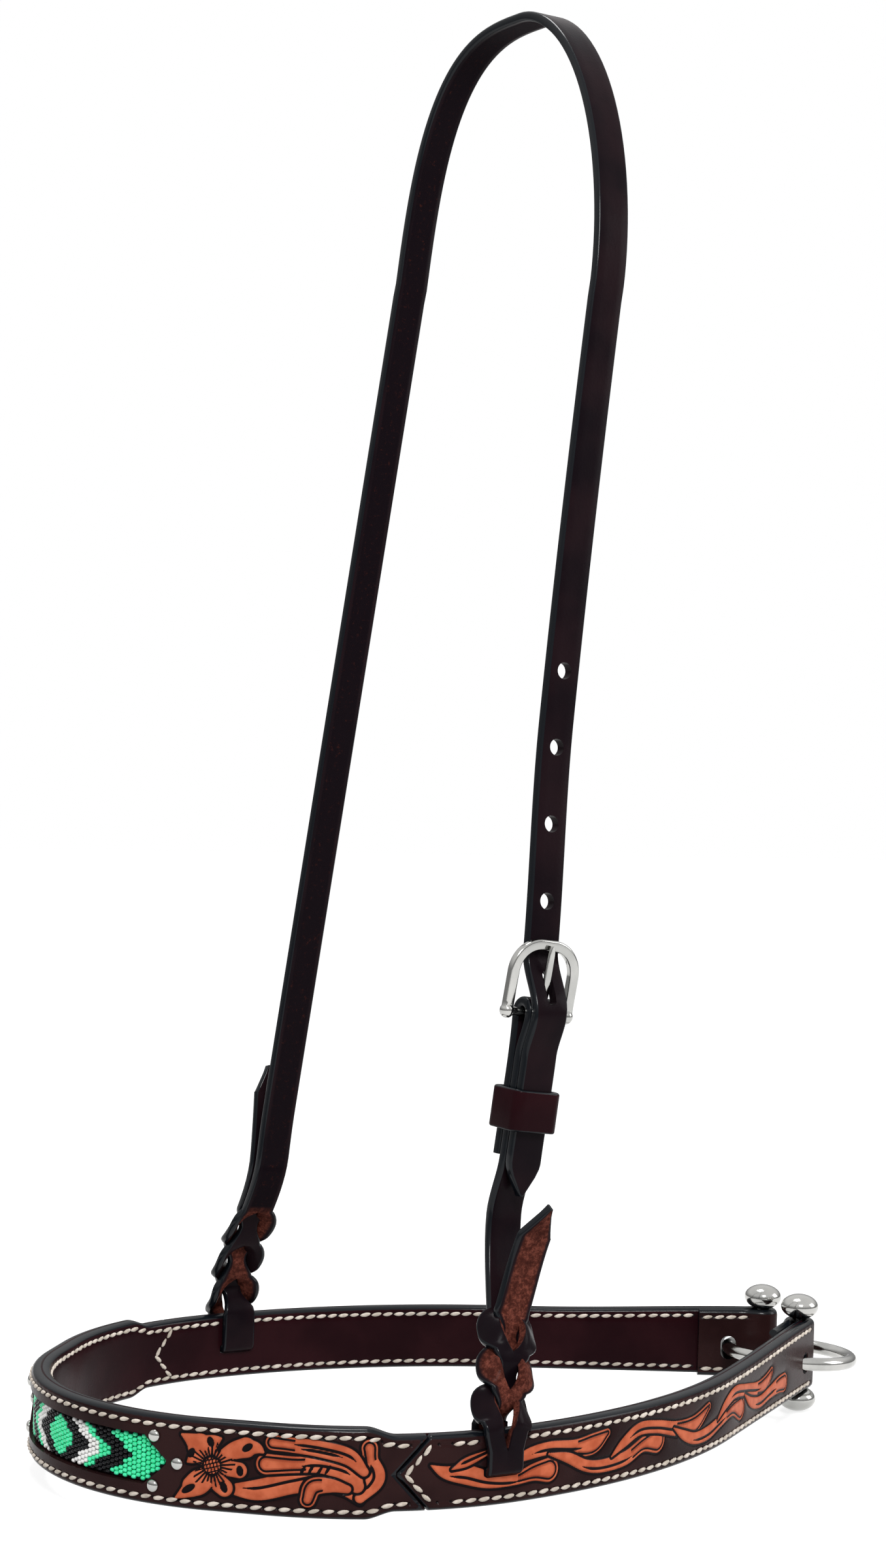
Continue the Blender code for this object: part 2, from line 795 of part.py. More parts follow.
def crown_strap(material):
    """The long strap: from its tip below the buckle, over the poll, to the far knot and tail."""
    rows = []
    tip = buckle_bar_height - crown_tip_drop
    for share, half_share in strap_tip_shares:
        height = tip + strap_point_length * share
        rows.append(row(near_place(height, near_offset(height)), half_width * half_share))
    heights = lap_heights()
    steps = 8
    heights += [buckle_bar_height + buckle_length * step / steps for step in range(1, steps + 1)]
    steps = 5
    first = heights[-1]
    heights += [first + frame_relax * step / steps for step in range(1, steps + 1)]
    first = heights[-1]
    shoulder = hanger_height - poll_rise_near
    steps = 6
    heights += [first + (shoulder - first) * step / steps for step in range(1, steps)]
    for height in heights:
        rows.append(row(near_place(height, near_offset(height))))
    steps = 20
    for step in range(steps + 1):
        rows.append(row(poll_centre(2.0 * step / steps - 1.0)))
    steps = 14
    shoulder = hanger_height - poll_rise_far
    for step in range(1, steps):
        height = shoulder + (knot_top - shoulder) * step / steps
        rows.append(row(knot_place(-1.0, height, standing_offset(-1.0, height))))
    rows += whole_knot(-1.0)
    item = strap("crown_strap", rows, material)
    for number in range(hole_count):
        height = buckle_bar_height + tongue_hole_rise + hole_spacing * number
        stretch = tongue_hole_stretch if number == 0 else 0.0
        cut(item, hole_cutter("hole_" + str(number), height, stretch))
    return item


def hole_cutter(name, height, stretch):
    """A round or stretched punch through the crown strap."""
    across, upward, outward = leg_axes(height)
    centre = near_place(height, near_offset(height))
    reach = strap_thickness + overrun * 2.0
    vertices = []
    count = 16
    for end in (-1.0, 1.0):
        for step in range(count):
            angle = math.tau * step / count
            side = math.cos(angle) * hole_radius
            rise = math.sin(angle) * hole_radius
            rise += math.copysign(stretch / 2.0, rise)
            vertices.append(centre + across * side + upward * rise + outward * reach * end)
    faces = [tuple(range(count)), tuple(range(count, 2 * count))[::-1]]
    for step in range(count):
        after = (step + 1) % count
        faces.append((step, after, count + after, count + step))
    return make_object(name, vertices, faces, steel)


def buckle_axes():
    """Centre of the buckle's bar and the directions of its frame."""
    across, upward, outward = leg_axes(buckle_bar_height)
    centre = leg_centre(1.0, buckle_bar_height) + outward * bar_offset
    return centre, across, upward, outward


def frame_axes():
    """Centre of the bar and the directions of the frame, which leans out over the strap."""
    centre, across, upward, outward = buckle_axes()
    turn = Matrix.Rotation(frame_lean, 3, across)
    return centre, across, turn @ upward, turn @ outward


def cheek_strap(material):
    """The short near strap: its turned back end, the fold round the bar, then the near knot."""
    centre, across, upward, outward = buckle_axes()
    rows = []
    for height in [turn_back_height] + lap_heights()[:-1]:
        rows.append(row(near_place(height, 0.0)))
    steps = 8
    for step in range(steps + 1):
        angle = math.pi * (1.0 - step / steps)
        spoke = outward * math.cos(angle) + upward * math.sin(angle)
        rows.append(row(centre + spoke * bar_offset, across=across))
    for height in lap_heights()[-2::-1] + [turn_back_height]:
        rows.append(row(near_place(height, near_offset(height) - layer_pitch)))
    steps = 4
    for step in range(1, steps):
        height = turn_back_height + (knot_top - turn_back_height) * step / steps
        rows.append(row(near_place(height, cheek_offset(height))))
    knot = whole_knot(1.0)
    for station in knot:
        station["across"] = station["across"] * -1.0
    item = strap("cheek_strap", rows + knot, material, -1.0)
    width = tongue_width + tongue_slot_clearance
    size = (width, bar_offset * 2.0 + strap_thickness * 2.0 + overrun, fold_slot_length)
    low_side = fold_slot_length / 2.0 - bar_offset - strap_thickness / 2.0 - seat_gap
    cut(item, box("fold_slot", size, centre - upward * low_side, (across, outward, upward)))
    return item


def box(name, size, centre, axes):
    """A box of full size (x, y, z) on its own axes."""
    vertices = []
    for x in (-0.5, 0.5):
        for y in (-0.5, 0.5):
            for z in (-0.5, 0.5):
                vertices.append(centre + axes[0] * size[0] * x + axes[1] * size[1] * y + axes[2] * size[2] * z)
    faces = [(0, 1, 3, 2), (4, 6, 7, 5), (0, 4, 5, 1), (2, 3, 7, 6), (0, 2, 6, 4), (1, 5, 7, 3)]
    return make_object(name, vertices, faces, steel)


def buckle_frame(material):
    """A flat frame, round arched at its top, with a round bar across its bottom."""
    centre, across, upward, outward = frame_axes()
    half = (buckle_width - buckle_rim_width) / 2.0
    corner = buckle_corner_radius
    top = buckle_length + buckle_rim_width / 2.0 - corner
    path = [(-half, 0.0), (-half, top / 2.0), (-half, top)]
    steps = 8
    for step in range(1, steps + 1):
        angle = math.pi / 2.0 * step / steps
        path.append((-half + corner * (1.0 - math.cos(angle)), top + corner * math.sin(angle)))
    path += [(-x, y) for x, y in path[::-1]]
    rings = []
    for number, (x, y) in enumerate(path):
        before = path[max(number - 1, 0)]
        after = path[min(number + 1, len(path) - 1)]
        heading = Vector((after[0] - before[0], after[1] - before[1])).normalized()
        ring = []
        for reach, level in section(-buckle_rim_width / 2.0, buckle_rim_width / 2.0,
                                    -buckle_rim_thickness / 2.0, buckle_rim_thickness / 2.0, edge_chamfer):
            flat = Vector((x, y)) + Vector((-heading.y, heading.x)) * reach
            ring.append(centre + across * flat.x + upward * flat.y + outward * level)
        rings.append(ring)
    vertices, faces = joined_rings(rings)
    item = make_object("buckle_frame", vertices, faces, material)
    rings = []
    count = 12
    for end in (-half - buckle_rim_width * bar_end_share, half + buckle_rim_width * bar_end_share):
        ring = []
        for step in range(count):
            angle = math.tau * step / count
            spoke = outward * math.cos(angle) + upward * math.sin(angle)
            ring.append(centre + across * end + spoke * bar_radius)
        rings.append(ring)
    vertices, faces = joined_rings(rings)
    bar = make_object("buckle_bar", vertices, faces, material)
    bar.hide_render = True
    bar.display_type = "WIRE"
    union = item.modifiers.new("bar", "BOOLEAN")
    union.operation = "UNION"
    union.solver = "EXACT"
    union.object = bar
    return place_at(item, centre)


def buckle_tongue(material):
    """A tongue curled round the bar, its prong resting on the top of the frame."""
    centre, across, upward, outward = frame_axes()
    reach = tongue_offset
    rest = buckle_rim_thickness / 2.0 + tongue_rest_gap + tongue_thickness / 2.0
    path = []
    steps = 11
    for step in range(steps + 1):
        angle = -tongue_curl * (1.0 - step / steps)
        path.append((reach * math.cos(angle), reach * math.sin(angle), 1.0))
    top = buckle_length + buckle_rim_width / 2.0
    for share, width_share in tongue_shares:
        path.append((reach + (rest - reach) * share, top * share, width_share))
    rings = []
    for number, (level, rise, width_share) in enumerate(path):
        before = path[max(number - 1, 0)]
        after = path[min(number + 1, len(path) - 1)]
        heading = Vector((after[0] - before[0], after[1] - before[1])).normalized()
        normal = Vector((heading.y, -heading.x))
        ring = []
        half = tongue_width / 2.0 * width_share
        skin = tongue_thickness / 2.0
        for side, lift in section(-half, half, -skin, skin, thin_chamfer):
            spot = Vector((level, rise)) + normal * lift
            ring.append(centre + across * side + outward * spot.x + upward * spot.y)
        rings.append(ring)
    vertices, faces = joined_rings(rings)
    return place_at(make_object("buckle_tongue", vertices, faces, material), centre)


def keeper(material):
    """The leather loop round the three layers below the buckle."""
    height = buckle_bar_height - keeper_drop
    across, upward, outward = leg_axes(height)
    centre = leg_centre(1.0, height) + outward * layer_pitch
    inner_half = half_width + keeper_clearance
    inner_depth = layer_pitch + strap_thickness / 2.0 + keeper_clearance
    half = inner_half + keeper_thickness / 2.0
    depth = inner_depth + keeper_thickness / 2.0
    corner = keeper_thickness * keeper_corner_share
    rings = []
    steps = 4
    for quarter in range(4):
        for step in range(steps + 1):
            angle = math.pi / 2.0 * (quarter + step / steps)
            side = math.cos(angle)
            level = math.sin(angle)
            corner_x = (half - corner) * (1.0 if quarter in (0, 3) else -1.0)
            corner_y = (depth - corner) * (1.0 if quarter in (0, 1) else -1.0)
            facing = Vector((side, level))
            spot = Vector((corner_x, corner_y)) + facing * corner
            ring = []
            for reach, rise in section(-keeper_thickness / 2.0, keeper_thickness / 2.0,
                                       -keeper_height / 2.0, keeper_height / 2.0, thin_chamfer):
                flat = spot + facing * reach
                ring.append(centre + across * flat.x + outward * flat.y + upward * rise)
            rings.append(ring)
    count = len(rings[0])
    vertices = [point for ring in rings for point in ring]
    faces = []
    for number in range(len(rings)):
        ahead = (number + 1) % len(rings)
        for column in range(count):
            after = (column + 1) % count
            faces.append((number * count + column, number * count + after,
                          ahead * count + after, ahead * count + column))
    return place_at(make_object("keeper", vertices, faces, material), centre)


def nail(name, side, rise, setback, material):
    """A round-headed nail by a point of the window; gives the cutter of its hole."""
    run = side * (window_half_length + setback)
    point, outward = plan_point(run, 0.0)
    centre = Vector((point.x, point.y, band_middle + rise))
    facing = Matrix((Vector((-outward.y, outward.x, 0.0)), Vector((0.0, 0.0, 1.0)), outward)).transposed()
    profile = [(nail_shank_radius, -nail_shank_length), (nail_shank_radius, seat_gap),
               (nail_head_radius, seat_gap)]
    steps = 4
    for step in range(1, steps + 1):
        angle = math.pi / 2.0 * nail_dome_share * step / steps
        profile.append((nail_head_radius * math.cos(angle), seat_gap + nail_head_height * math.sin(angle)))
    item = turned(name, profile, 14, material, centre)
    item.matrix_world = Matrix.Translation(centre) @ facing.to_4x4()
    hole_radius_here = nail_shank_radius + seat_gap
    profile = [(hole_radius_here, -outer_thickness - overrun), (hole_radius_here, overrun)]
    cutter = turned(name + "_hole", profile, 14, material, centre)
    cutter.matrix_world = item.matrix_world
    return cutter


for old in list(bpy.data.objects):
    bpy.data.objects.remove(old)

dark_leather = make_material("dark leather", (0.045, 0.016, 0.018), 0.32, 0.0)
hanger_leather = make_material("hanger leather", (0.06, 0.018, 0.012), 0.38, 0.0)
lining_leather = make_material("lining leather", (0.05, 0.018, 0.02), 0.4, 0.0)
bead_glass = make_material("bead glass", (0.02, 0.35, 0.16), 0.12, 0.0)
backing_felt = make_material("backing felt", (0.008, 0.008, 0.009), 0.9, 0.0)
steel = make_material("nickel", (0.72, 0.72, 0.72), 0.16, 1.0)

end_near = splice_run_near + splice_point_length - prong_gap
end_far = splice_run_far + splice_point_length - prong_gap
lining_end = half_run - pin_radius - seat_gap - lining_end_gap

lining = band_layer("lining", plan_stations(-lining_end, lining_end), lining_depth, band_thickness,
                    band_edges, lining_leather)
nose_piece = band_layer("nose_piece", plan_stations(-end_far, end_near,
                                                    (-splice_run_far, taper_length - splice_run_far,
                                                     splice_run_near - taper_length, splice_run_near)),
                        0.0, outer_thickness, band_edges, dark_leather)
near_strap = side_strap("side_strap_near", 1.0, dark_leather)
far_strap = side_strap("side_strap_far", -1.0, dark_leather)

for side, label in ((1.0, "near"), (-1.0, "far")):
    tip = splice_run_near if side > 0.0 else splice_run_far
    front = tip - seat_gap
    back = tip + splice_point_length + overrun
    knee = tip + splice_point_length - seat_gap
    steps = 4
    stations = [side * (front + (knee - front) * step / steps) for step in range(steps + 1)] + [side * back]
    cutter = band_layer("splice_cut_" + label, stations, -overrun, outer_thickness + overrun,
                        splice_edges(side, seat_gap), steel, 0.0)
    cut(nose_piece, cutter)

marks = (window_point_length - window_half_length, window_half_length - window_point_length)
window_cutter = band_layer("window_cut", plan_stations(-window_half_length, window_half_length, marks),
                           -overrun, outer_thickness + overrun, window_edges(0.0), steel, 0.0)
cut(nose_piece, window_cutter)

inner_end = window_half_length - window_end_gap
inner_stations = plan_stations(-inner_end, inner_end, marks)
band_layer("bead_backing", inner_stations, outer_thickness - backing_thickness, outer_thickness,
           window_edges(-seat_gap), backing_felt, felt_chamfer)
bead_inside = outer_thickness - backing_thickness - seat_gap
band_layer("bead_panel", inner_stations, bead_inside - bead_thickness, bead_inside,
           window_edges(-seat_gap), bead_glass, thin_chamfer)

for side, label in ((1.0, "near"), (-1.0, "far")):
    for spot, rise, setback in (("upper", nail_flank_height, -nail_flank_offset),
                                ("point", 0.0, nail_point_offset),
                                ("lower", -nail_flank_height, -nail_flank_offset)):
        cut(nose_piece, nail("stud_" + label + "_" + spot, side, rise, setback, steel))

for side, label in ((1.0, "near"), (-1.0, "far")):
    outer = near_strap if side > 0.0 else far_strap
    foot, along, outward = knot_frame(side)
    size = (strap_width + slot_clearance * 2.0, band_thickness + overrun * 2.0,
            knot_strap_thickness + slot_clearance * 2.0)
    slot = box("knot_slot_" + label, size, foot + Vector((0.0, 0.0, slot_height)),
               (along, outward, Vector((0.0, 0.0, 1.0))))
    cut(outer, slot)
    cut(lining, slot)
    hole = ring_hole(side, label)
    cut(outer, hole)
    cut(lining, hole)

ball_pin("ball_pin_near", 1.0, steel)
ball_pin("ball_pin_far", -1.0, steel)
tie_ring(steel)
crown_strap(hanger_leather)
cheek_strap(hanger_leather)
buckle_frame(steel)
buckle_tongue(steel)
keeper(dark_leather)
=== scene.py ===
# %% [markdown]
# # A beaded western noseband, dressed for a studio picture
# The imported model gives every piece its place, so this lesson only makes the looks: rolled leather
# edges, carved leaves, hand stitching, glass seed beads, a slit braid knot and polished nickel.
# Lengths are in metres; `MM` lets a saddler's millimetres be written as they are measured.

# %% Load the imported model
import math

import bmesh
import bpy
import numpy as np
from mathutils import Matrix, Vector


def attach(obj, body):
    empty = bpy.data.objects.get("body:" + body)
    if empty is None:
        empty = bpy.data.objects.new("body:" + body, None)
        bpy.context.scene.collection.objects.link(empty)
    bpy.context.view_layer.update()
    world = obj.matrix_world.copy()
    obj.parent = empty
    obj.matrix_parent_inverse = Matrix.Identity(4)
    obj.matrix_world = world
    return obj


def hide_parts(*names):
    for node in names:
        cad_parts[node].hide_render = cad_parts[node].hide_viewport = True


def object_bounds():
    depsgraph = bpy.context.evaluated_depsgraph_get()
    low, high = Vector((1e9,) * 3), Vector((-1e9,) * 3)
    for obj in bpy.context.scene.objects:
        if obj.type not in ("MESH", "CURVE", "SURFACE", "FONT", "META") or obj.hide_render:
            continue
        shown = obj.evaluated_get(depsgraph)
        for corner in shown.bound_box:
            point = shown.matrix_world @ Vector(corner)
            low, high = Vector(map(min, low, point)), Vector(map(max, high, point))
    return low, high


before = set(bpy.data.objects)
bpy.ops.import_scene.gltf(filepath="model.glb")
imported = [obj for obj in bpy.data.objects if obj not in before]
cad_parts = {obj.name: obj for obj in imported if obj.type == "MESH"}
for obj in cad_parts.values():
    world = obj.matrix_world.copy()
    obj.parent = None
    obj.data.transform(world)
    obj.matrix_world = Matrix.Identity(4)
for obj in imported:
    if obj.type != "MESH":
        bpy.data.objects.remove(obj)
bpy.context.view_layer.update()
MM = 0.001

# %% [markdown]
# ## Driving sizes
# The band is drawn on a plan line of arcs and straights, so the scene needs the same few radii as
# the saddler's pattern. Everything else is worked out from them.

# %% Sizes of the band
seat_gap = 0.3 * MM
hanger_height = 500.0 * MM
nose_reach = 170.5 * MM
nose_radius = 82.6 * MM
nose_turn = math.radians(45.0)
shoulder_run = 16.5 * MM
shoulder_radius = 106.8 * MM
rear_radius = 217.0 * MM
pin_half_spacing = 10.7 * MM
rear_run = 99.6 * MM
rear_lift = 0.9 * MM
rear_rise_run = 90.0 * MM
side_height = 23.8 * MM
rear_height = 26.0 * MM
nose_height = 28.6 * MM
lining_thickness = 3.0 * MM
outer_thickness = 3.3 * MM
taper_length = 10.0 * MM
splice_run = {1: 123.4 * MM, -1: 135.0 * MM}
splice_point_length = 10.5 * MM
splice_tip_height = 1.2 * MM
prong_gap = 1.2 * MM
window_half_length = 50.0 * MM
window_point_length = 8.0 * MM
window_height = 15.6 * MM
window_tip_height = 1.4 * MM
pin_radius = 2.2 * MM
lining_end_gap = 1.2 * MM
turn_back_length = 25.0 * MM
turn_back_blend = 9.0 * MM
strap_width = 12.7 * MM
strap_thickness = 3.4 * MM

band_floor = strap_thickness - hanger_height
band_middle = band_floor + side_height / 2.0
rear_middle = band_middle + rear_lift
lining_depth = outer_thickness + seat_gap
band_thickness = lining_depth + lining_thickness
layer_pitch = strap_thickness + seat_gap
pin_depth = outer_thickness + seat_gap + pin_radius
half_width = strap_width / 2.0
splice_slope = splice_point_length / ((side_height - splice_tip_height) / 2.0)
nose_arc_run = nose_radius * nose_turn
shoulder_arc_run = shoulder_radius * (math.pi / 2.0 - nose_turn)
band_half_width = (nose_radius * math.sin(nose_turn) + shoulder_run * math.cos(nose_turn)
                   + shoulder_radius * (1.0 - math.sin(nose_turn)))
pin_reach = math.hypot(pin_depth - rear_radius, rear_run)
rear_turn = (math.atan2(rear_run, pin_depth - rear_radius)
             - math.acos((band_half_width - rear_radius - pin_half_spacing) / pin_reach))
half_run = nose_arc_run + shoulder_run + shoulder_arc_run + rear_radius * rear_turn + rear_run
print("half the band's run:", round(half_run / MM, 1), "mm")

# %% [markdown]
# ## The plan line
# A band of leather keeps its length when it bends, so every place on it is given by its run from
# the nose and its height. One function turns runs and depths into points, for whole arrays at once.

# %% Points on the plan line
def plan(run, depth):
    """Points and outward directions, `depth` inside the band's outer face, for arrays of runs.

    The last straight goes on past the pins, for what lies beyond them.
    """
    run = np.asarray(run, float)
    side = np.where(run < 0.0, -1.0, 1.0)
    left = np.abs(run)
    heading = np.full(left.shape, -math.pi / 2.0)
    x = np.full(left.shape, -nose_reach)
    y = np.zeros(left.shape)
    for length, radius in ((nose_arc_run, nose_radius), (shoulder_run, 0.0),
                           (shoulder_arc_run, shoulder_radius), (rear_radius * rear_turn, rear_radius),
                           (rear_run * 2.0, 0.0)):
        step = np.minimum(left, length)
        if radius:
            after = heading + step / radius
            x += radius * (np.sin(after) - np.sin(heading))
            y += radius * (np.cos(heading) - np.cos(after))
            heading = after
        else:
            x += step * np.cos(heading)
            y += step * np.sin(heading)
        left = left - step
    ox, oy = np.sin(heading), -np.cos(heading)
    return x - ox * depth, side * (y - oy * depth), ox, side * oy


def ease(share):
    """Shares held between 0 and 1 and eased at both ends."""
    held = np.clip(share, 0.0, 1.0)
    return held * held * (3.0 - 2.0 * held)


def rear_share(run):
    return ease((np.abs(run) - half_run + rear_rise_run) / rear_rise_run)


def middle_at(run):
    """Height of the band's middle line."""
    return band_middle + rear_lift * rear_share(run)


def side_half(run):
    """Half the height of a side strap."""
    return (side_height + (rear_height - side_height) * rear_share(run)) / 2.0


def band_half(run):
    """Half the height of the band: high over the nose, lower along the sides."""
    end = np.where(np.asarray(run) < 0.0, splice_run[-1], splice_run[1])
    past = (np.abs(run) - (end - taper_length)) / taper_length
    return side_half(run) + (nose_height - side_height) / 2.0 * (1.0 - ease(past))


print("pin lies at x", round(float(plan(half_run, pin_depth)[0]) / MM, 1), "mm")

# %% [markdown]
# ## Turning grids into meshes
# Leather pieces are grids of points swept along the band. Each point also carries what the shader
# must know about it: whether it is on an edge, on the rough flesh side, on a carved leaf or in a cut.
# Painting masks by hand would work too, but numbers made with the shape always fit it.

# %% A mesh from arrays
cut_smooth_angle = 45.0


def make_mesh(name, points, faces, material, masks=None, smooth_angle=50.0):
    """A mesh object from points, faces and named masks, with its faces turned outwards."""
    mesh = bpy.data.meshes.new(name)
    places = np.asarray(points, float).reshape(-1, 3).tolist()
    mesh.from_pydata(places, [], [tuple(face) for face in faces])
    for label, values in (masks or {}).items():
        layer = mesh.attributes.new(label, "FLOAT", "POINT")
        layer.data.foreach_set("value", np.asarray(values, np.float32).ravel())
    shell = bmesh.new()
    shell.from_mesh(mesh)
    bmesh.ops.recalc_face_normals(shell, faces=shell.faces)
    shell.to_mesh(mesh)
    shell.free()
    mesh.shade_smooth()
    mesh.set_sharp_from_angle(angle=math.radians(smooth_angle))
    mesh.materials.append(material)
    piece = bpy.data.objects.new(name, mesh)
    bpy.context.scene.collection.objects.link(piece)
    return piece


def grid_faces(rows, columns, close_rows=False):
    """Quads of a tube of rows by columns; a tube that doesn't close on itself gets two caps."""
    index = np.arange(rows * columns).reshape(rows, columns)
    index = np.concatenate([index, index[:, :1]], axis=1)
    if close_rows:
        index = np.concatenate([index, index[:1]], axis=0)
    quads = np.stack([index[:-1, :-1], index[:-1, 1:], index[1:, 1:], index[1:, :-1]], -1)
    faces = quads.reshape(-1, 4).tolist()
    if not close_rows:
        faces.append(list(range(columns))[::-1])
        faces.append(list(range((rows - 1) * columns, rows * columns)))
    return faces


def cut(piece, knife, operation="DIFFERENCE"):
    """Cut one closed mesh with another in the piece's own finish, with black walls, and drop it."""
    layer = knife.data.attributes.new("edge", "FLOAT", "POINT")
    layer.data.foreach_set("value", np.ones(len(knife.data.vertices), np.float32))
    knife.data.materials[0] = piece.data.materials[0]
    boolean = piece.modifiers.new("cut", "BOOLEAN")
    boolean.operation = operation
    boolean.solver = "EXACT"
    boolean.object = knife
    graph = bpy.context.evaluated_depsgraph_get()
    result = bpy.data.meshes.new_from_object(piece.evaluated_get(graph), depsgraph=graph)
    piece.modifiers.clear()
    result.set_sharp_from_angle(angle=math.radians(cut_smooth_angle))
    old = piece.data
    piece.data = result
    bpy.data.meshes.remove(old)
    bpy.data.objects.remove(knife)


def dress(piece, body, slot, *nodes):
    """Attach a piece to the body it rides on and hide the nodes it stands for. `slot`, the name of its
    finish, is not used.
    """
    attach(piece, body)
    if nodes:
        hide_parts(*nodes)
    print(piece.name, len(piece.data.polygons), "faces")
    return piece


print("mesh helpers ready")

# %% [markdown]
# ## Shared shader groups
# Three effects return on several materials. *Grain* is the fine pebble of oiled leather, with slow
# clouds of colour. *Edge finish* is the black wax that a saddler burnishes into cut edges; on the
# lining its mask also darkens the awl holes, as painted shade. *Wear* is the faint polish and dust
# that handling leaves. Each is one group with named sockets.

# %% Node helpers
def new_group(name, inputs, outputs):
    """An empty shader group with the sockets that the lists name."""
    group = bpy.data.node_groups.new(name, "ShaderNodeTree")
    for label, kind, value in inputs:
        socket = group.interface.new_socket(label, in_out="INPUT", socket_type=kind)
        socket.default_value = value
    for label, kind in outputs:
        group.interface.new_socket(label, in_out="OUTPUT", socket_type=kind)
    return group, group.nodes.new("NodeGroupInput"), group.nodes.new("NodeGroupOutput")


def put(tree, kind, inputs=None, **settings):
    """Add a node, set it up and wire or fill its inputs."""
    node = tree.nodes.new(kind)
    for label, value in settings.items():
        setattr(node, label, value)
    for label, value in (inputs or {}).items():
        if isinstance(value, bpy.types.NodeSocket):
            tree.links.new(value, node.inputs[label])
        else:
            node.inputs[label].default_value = value
    return node


def maths(tree, operation, first, second=0.0, third=0.0):
    """A Math node's result."""
    return put(tree, "ShaderNodeMath", {0: first, 1: second, 2: third}, operation=operation).outputs[0]


def mixed(tree, share, first, second):
    """A colour between two colours."""
    node = put(tree, "ShaderNodeMix", data_type="RGBA")
    for socket, value in ((0, share), (6, first), (7, second)):
        if isinstance(value, bpy.types.NodeSocket):
            tree.links.new(value, node.inputs[socket])
        else:
            node.inputs[socket].default_value = value if socket == 0 else (*value[:3], 1.0)
    return node.outputs[2]


def stretch(tree, value, low, high, to_low=0.0, to_high=1.0):
    """A value moved smoothly from one range to another."""
    return put(tree, "ShaderNodeMapRange", {"Value": value, "From Min": low, "From Max": high,
                                            "To Min": to_low, "To Max": to_high},
               interpolation_type="SMOOTHSTEP").outputs[0]


def attribute(tree, label):
    return put(tree, "ShaderNodeAttribute", attribute_name=label).outputs["Fac"]


def object_place(tree):
    return put(tree, "ShaderNodeTexCoord").outputs["Object"]


def noise(tree, scale, detail, roughness=0.5):
    """Noise in the piece's own space, so that it stays put when the piece moves."""
    return put(tree, "ShaderNodeTexNoise", {"Vector": object_place(tree), "Scale": scale,
                                            "Detail": detail, "Roughness": roughness}).outputs[0]


print("node helpers ready")

# %% Leather grain group
grain_group, source, result = new_group(
    "leather grain",
    (("Pebble", "NodeSocketFloat", 900.0), ("Crease", "NodeSocketFloat", 0.3)),
    (("Height", "NodeSocketFloat"), ("Cloud", "NodeSocketFloat")))
pebbles = put(grain_group, "ShaderNodeTexVoronoi", {"Vector": object_place(grain_group),
                                                    "Scale": source.outputs["Pebble"],
                                                    "Randomness": 1.0}, feature="SMOOTH_F1")
crease = noise(grain_group, 130.0, 6.0, 0.6)
cloud = noise(grain_group, 38.0, 3.0)
height = maths(grain_group, "MULTIPLY_ADD", crease, source.outputs["Crease"],
               maths(grain_group, "MULTIPLY", pebbles.outputs["Distance"], 0.5))
grain_group.links.new(height, result.inputs["Height"])
grain_group.links.new(stretch(grain_group, cloud, 0.35, 0.65), result.inputs["Cloud"])
print(grain_group.name, [item.name for item in grain_group.interface.items_tree])

# %% Edge finish group
edge_group, source, result = new_group(
    "edge finish",
    (("Face Color", "NodeSocketColor", (0.05, 0.02, 0.02, 1.0)),
     ("Edge Color", "NodeSocketColor", (0.012, 0.015, 0.019, 1.0)),
     ("Face Roughness", "NodeSocketFloat", 0.35), ("Edge Roughness", "NodeSocketFloat", 0.3),
     ("Ragged", "NodeSocketFloat", 0.25)),
    (("Color", "NodeSocketColor"), ("Roughness", "NodeSocketFloat"), ("Mask", "NodeSocketFloat")))
ragged = maths(edge_group, "SUBTRACT", noise(edge_group, 420.0, 4.0), 0.5)
wander = maths(edge_group, "MULTIPLY", ragged, source.outputs["Ragged"])
mask = stretch(edge_group, maths(edge_group, "ADD", attribute(edge_group, "edge"), wander), 0.3, 0.6)
colour = mixed(edge_group, mask, source.outputs["Face Color"], source.outputs["Edge Color"])
edge_group.links.new(colour, result.inputs["Color"])
spread = maths(edge_group, "SUBTRACT", source.outputs["Edge Roughness"], source.outputs["Face Roughness"])
rough = maths(edge_group, "MULTIPLY_ADD", mask, spread, source.outputs["Face Roughness"])
edge_group.links.new(rough, result.inputs["Roughness"])
edge_group.links.new(mask, result.inputs["Mask"])
print(edge_group.name, "feeds colour and roughness")

# %% Wear group
wear_group, source, result = new_group(
    "handling wear",
    (("Roughness", "NodeSocketFloat", 0.3), ("Amount", "NodeSocketFloat", 0.1)),
    (("Roughness", "NodeSocketFloat"), ("Scratch", "NodeSocketFloat")))
swing = maths(wear_group, "SUBTRACT", noise(wear_group, 75.0, 5.0, 0.7), 0.5)
rough = maths(wear_group, "MULTIPLY_ADD", swing, source.outputs["Amount"], source.outputs["Roughness"])
wear_group.links.new(rough, result.inputs["Roughness"])
wear_group.links.new(noise(wear_group, 1500.0, 2.0), result.inputs["Scratch"])
print(wear_group.name, "varies roughness")

# %% [markdown]
# ## Materials
# The leather is one dark, hot-waxed hide. The carved leaves are the same hide left natural and
# dyed saddle tan, so one material holds both and a mask chooses. Values that are the same all over
# sit on the shader itself. Colour, roughness, coat and height vary, so they are wired.

# %% Shader starts
def new_material(name):
    """A material and its empty Principled shader."""
    material = bpy.data.materials.new(name)
    material.use_nodes = True
    return material, material.node_tree, material.node_tree.nodes["Principled BSDF"]


def use_group(tree, group, **values):
    """Place a shader group and fill its named inputs; an underscore stands for a space."""
    node = put(tree, "ShaderNodeGroup", node_tree=group)
    for label, value in values.items():
        socket = node.inputs[label.replace("_", " ")]
        if isinstance(value, bpy.types.NodeSocket):
            tree.links.new(value, socket)
        elif isinstance(value, tuple):
            socket.default_value = (*value, 1.0)
        else:
            socket.default_value = value
    return node


def bump(tree, shader, height, strength, distance):
    node = put(tree, "ShaderNodeBump", {"Strength": strength, "Distance": distance, "Height": height})
    tree.links.new(node.outputs[0], shader.inputs["Normal"])


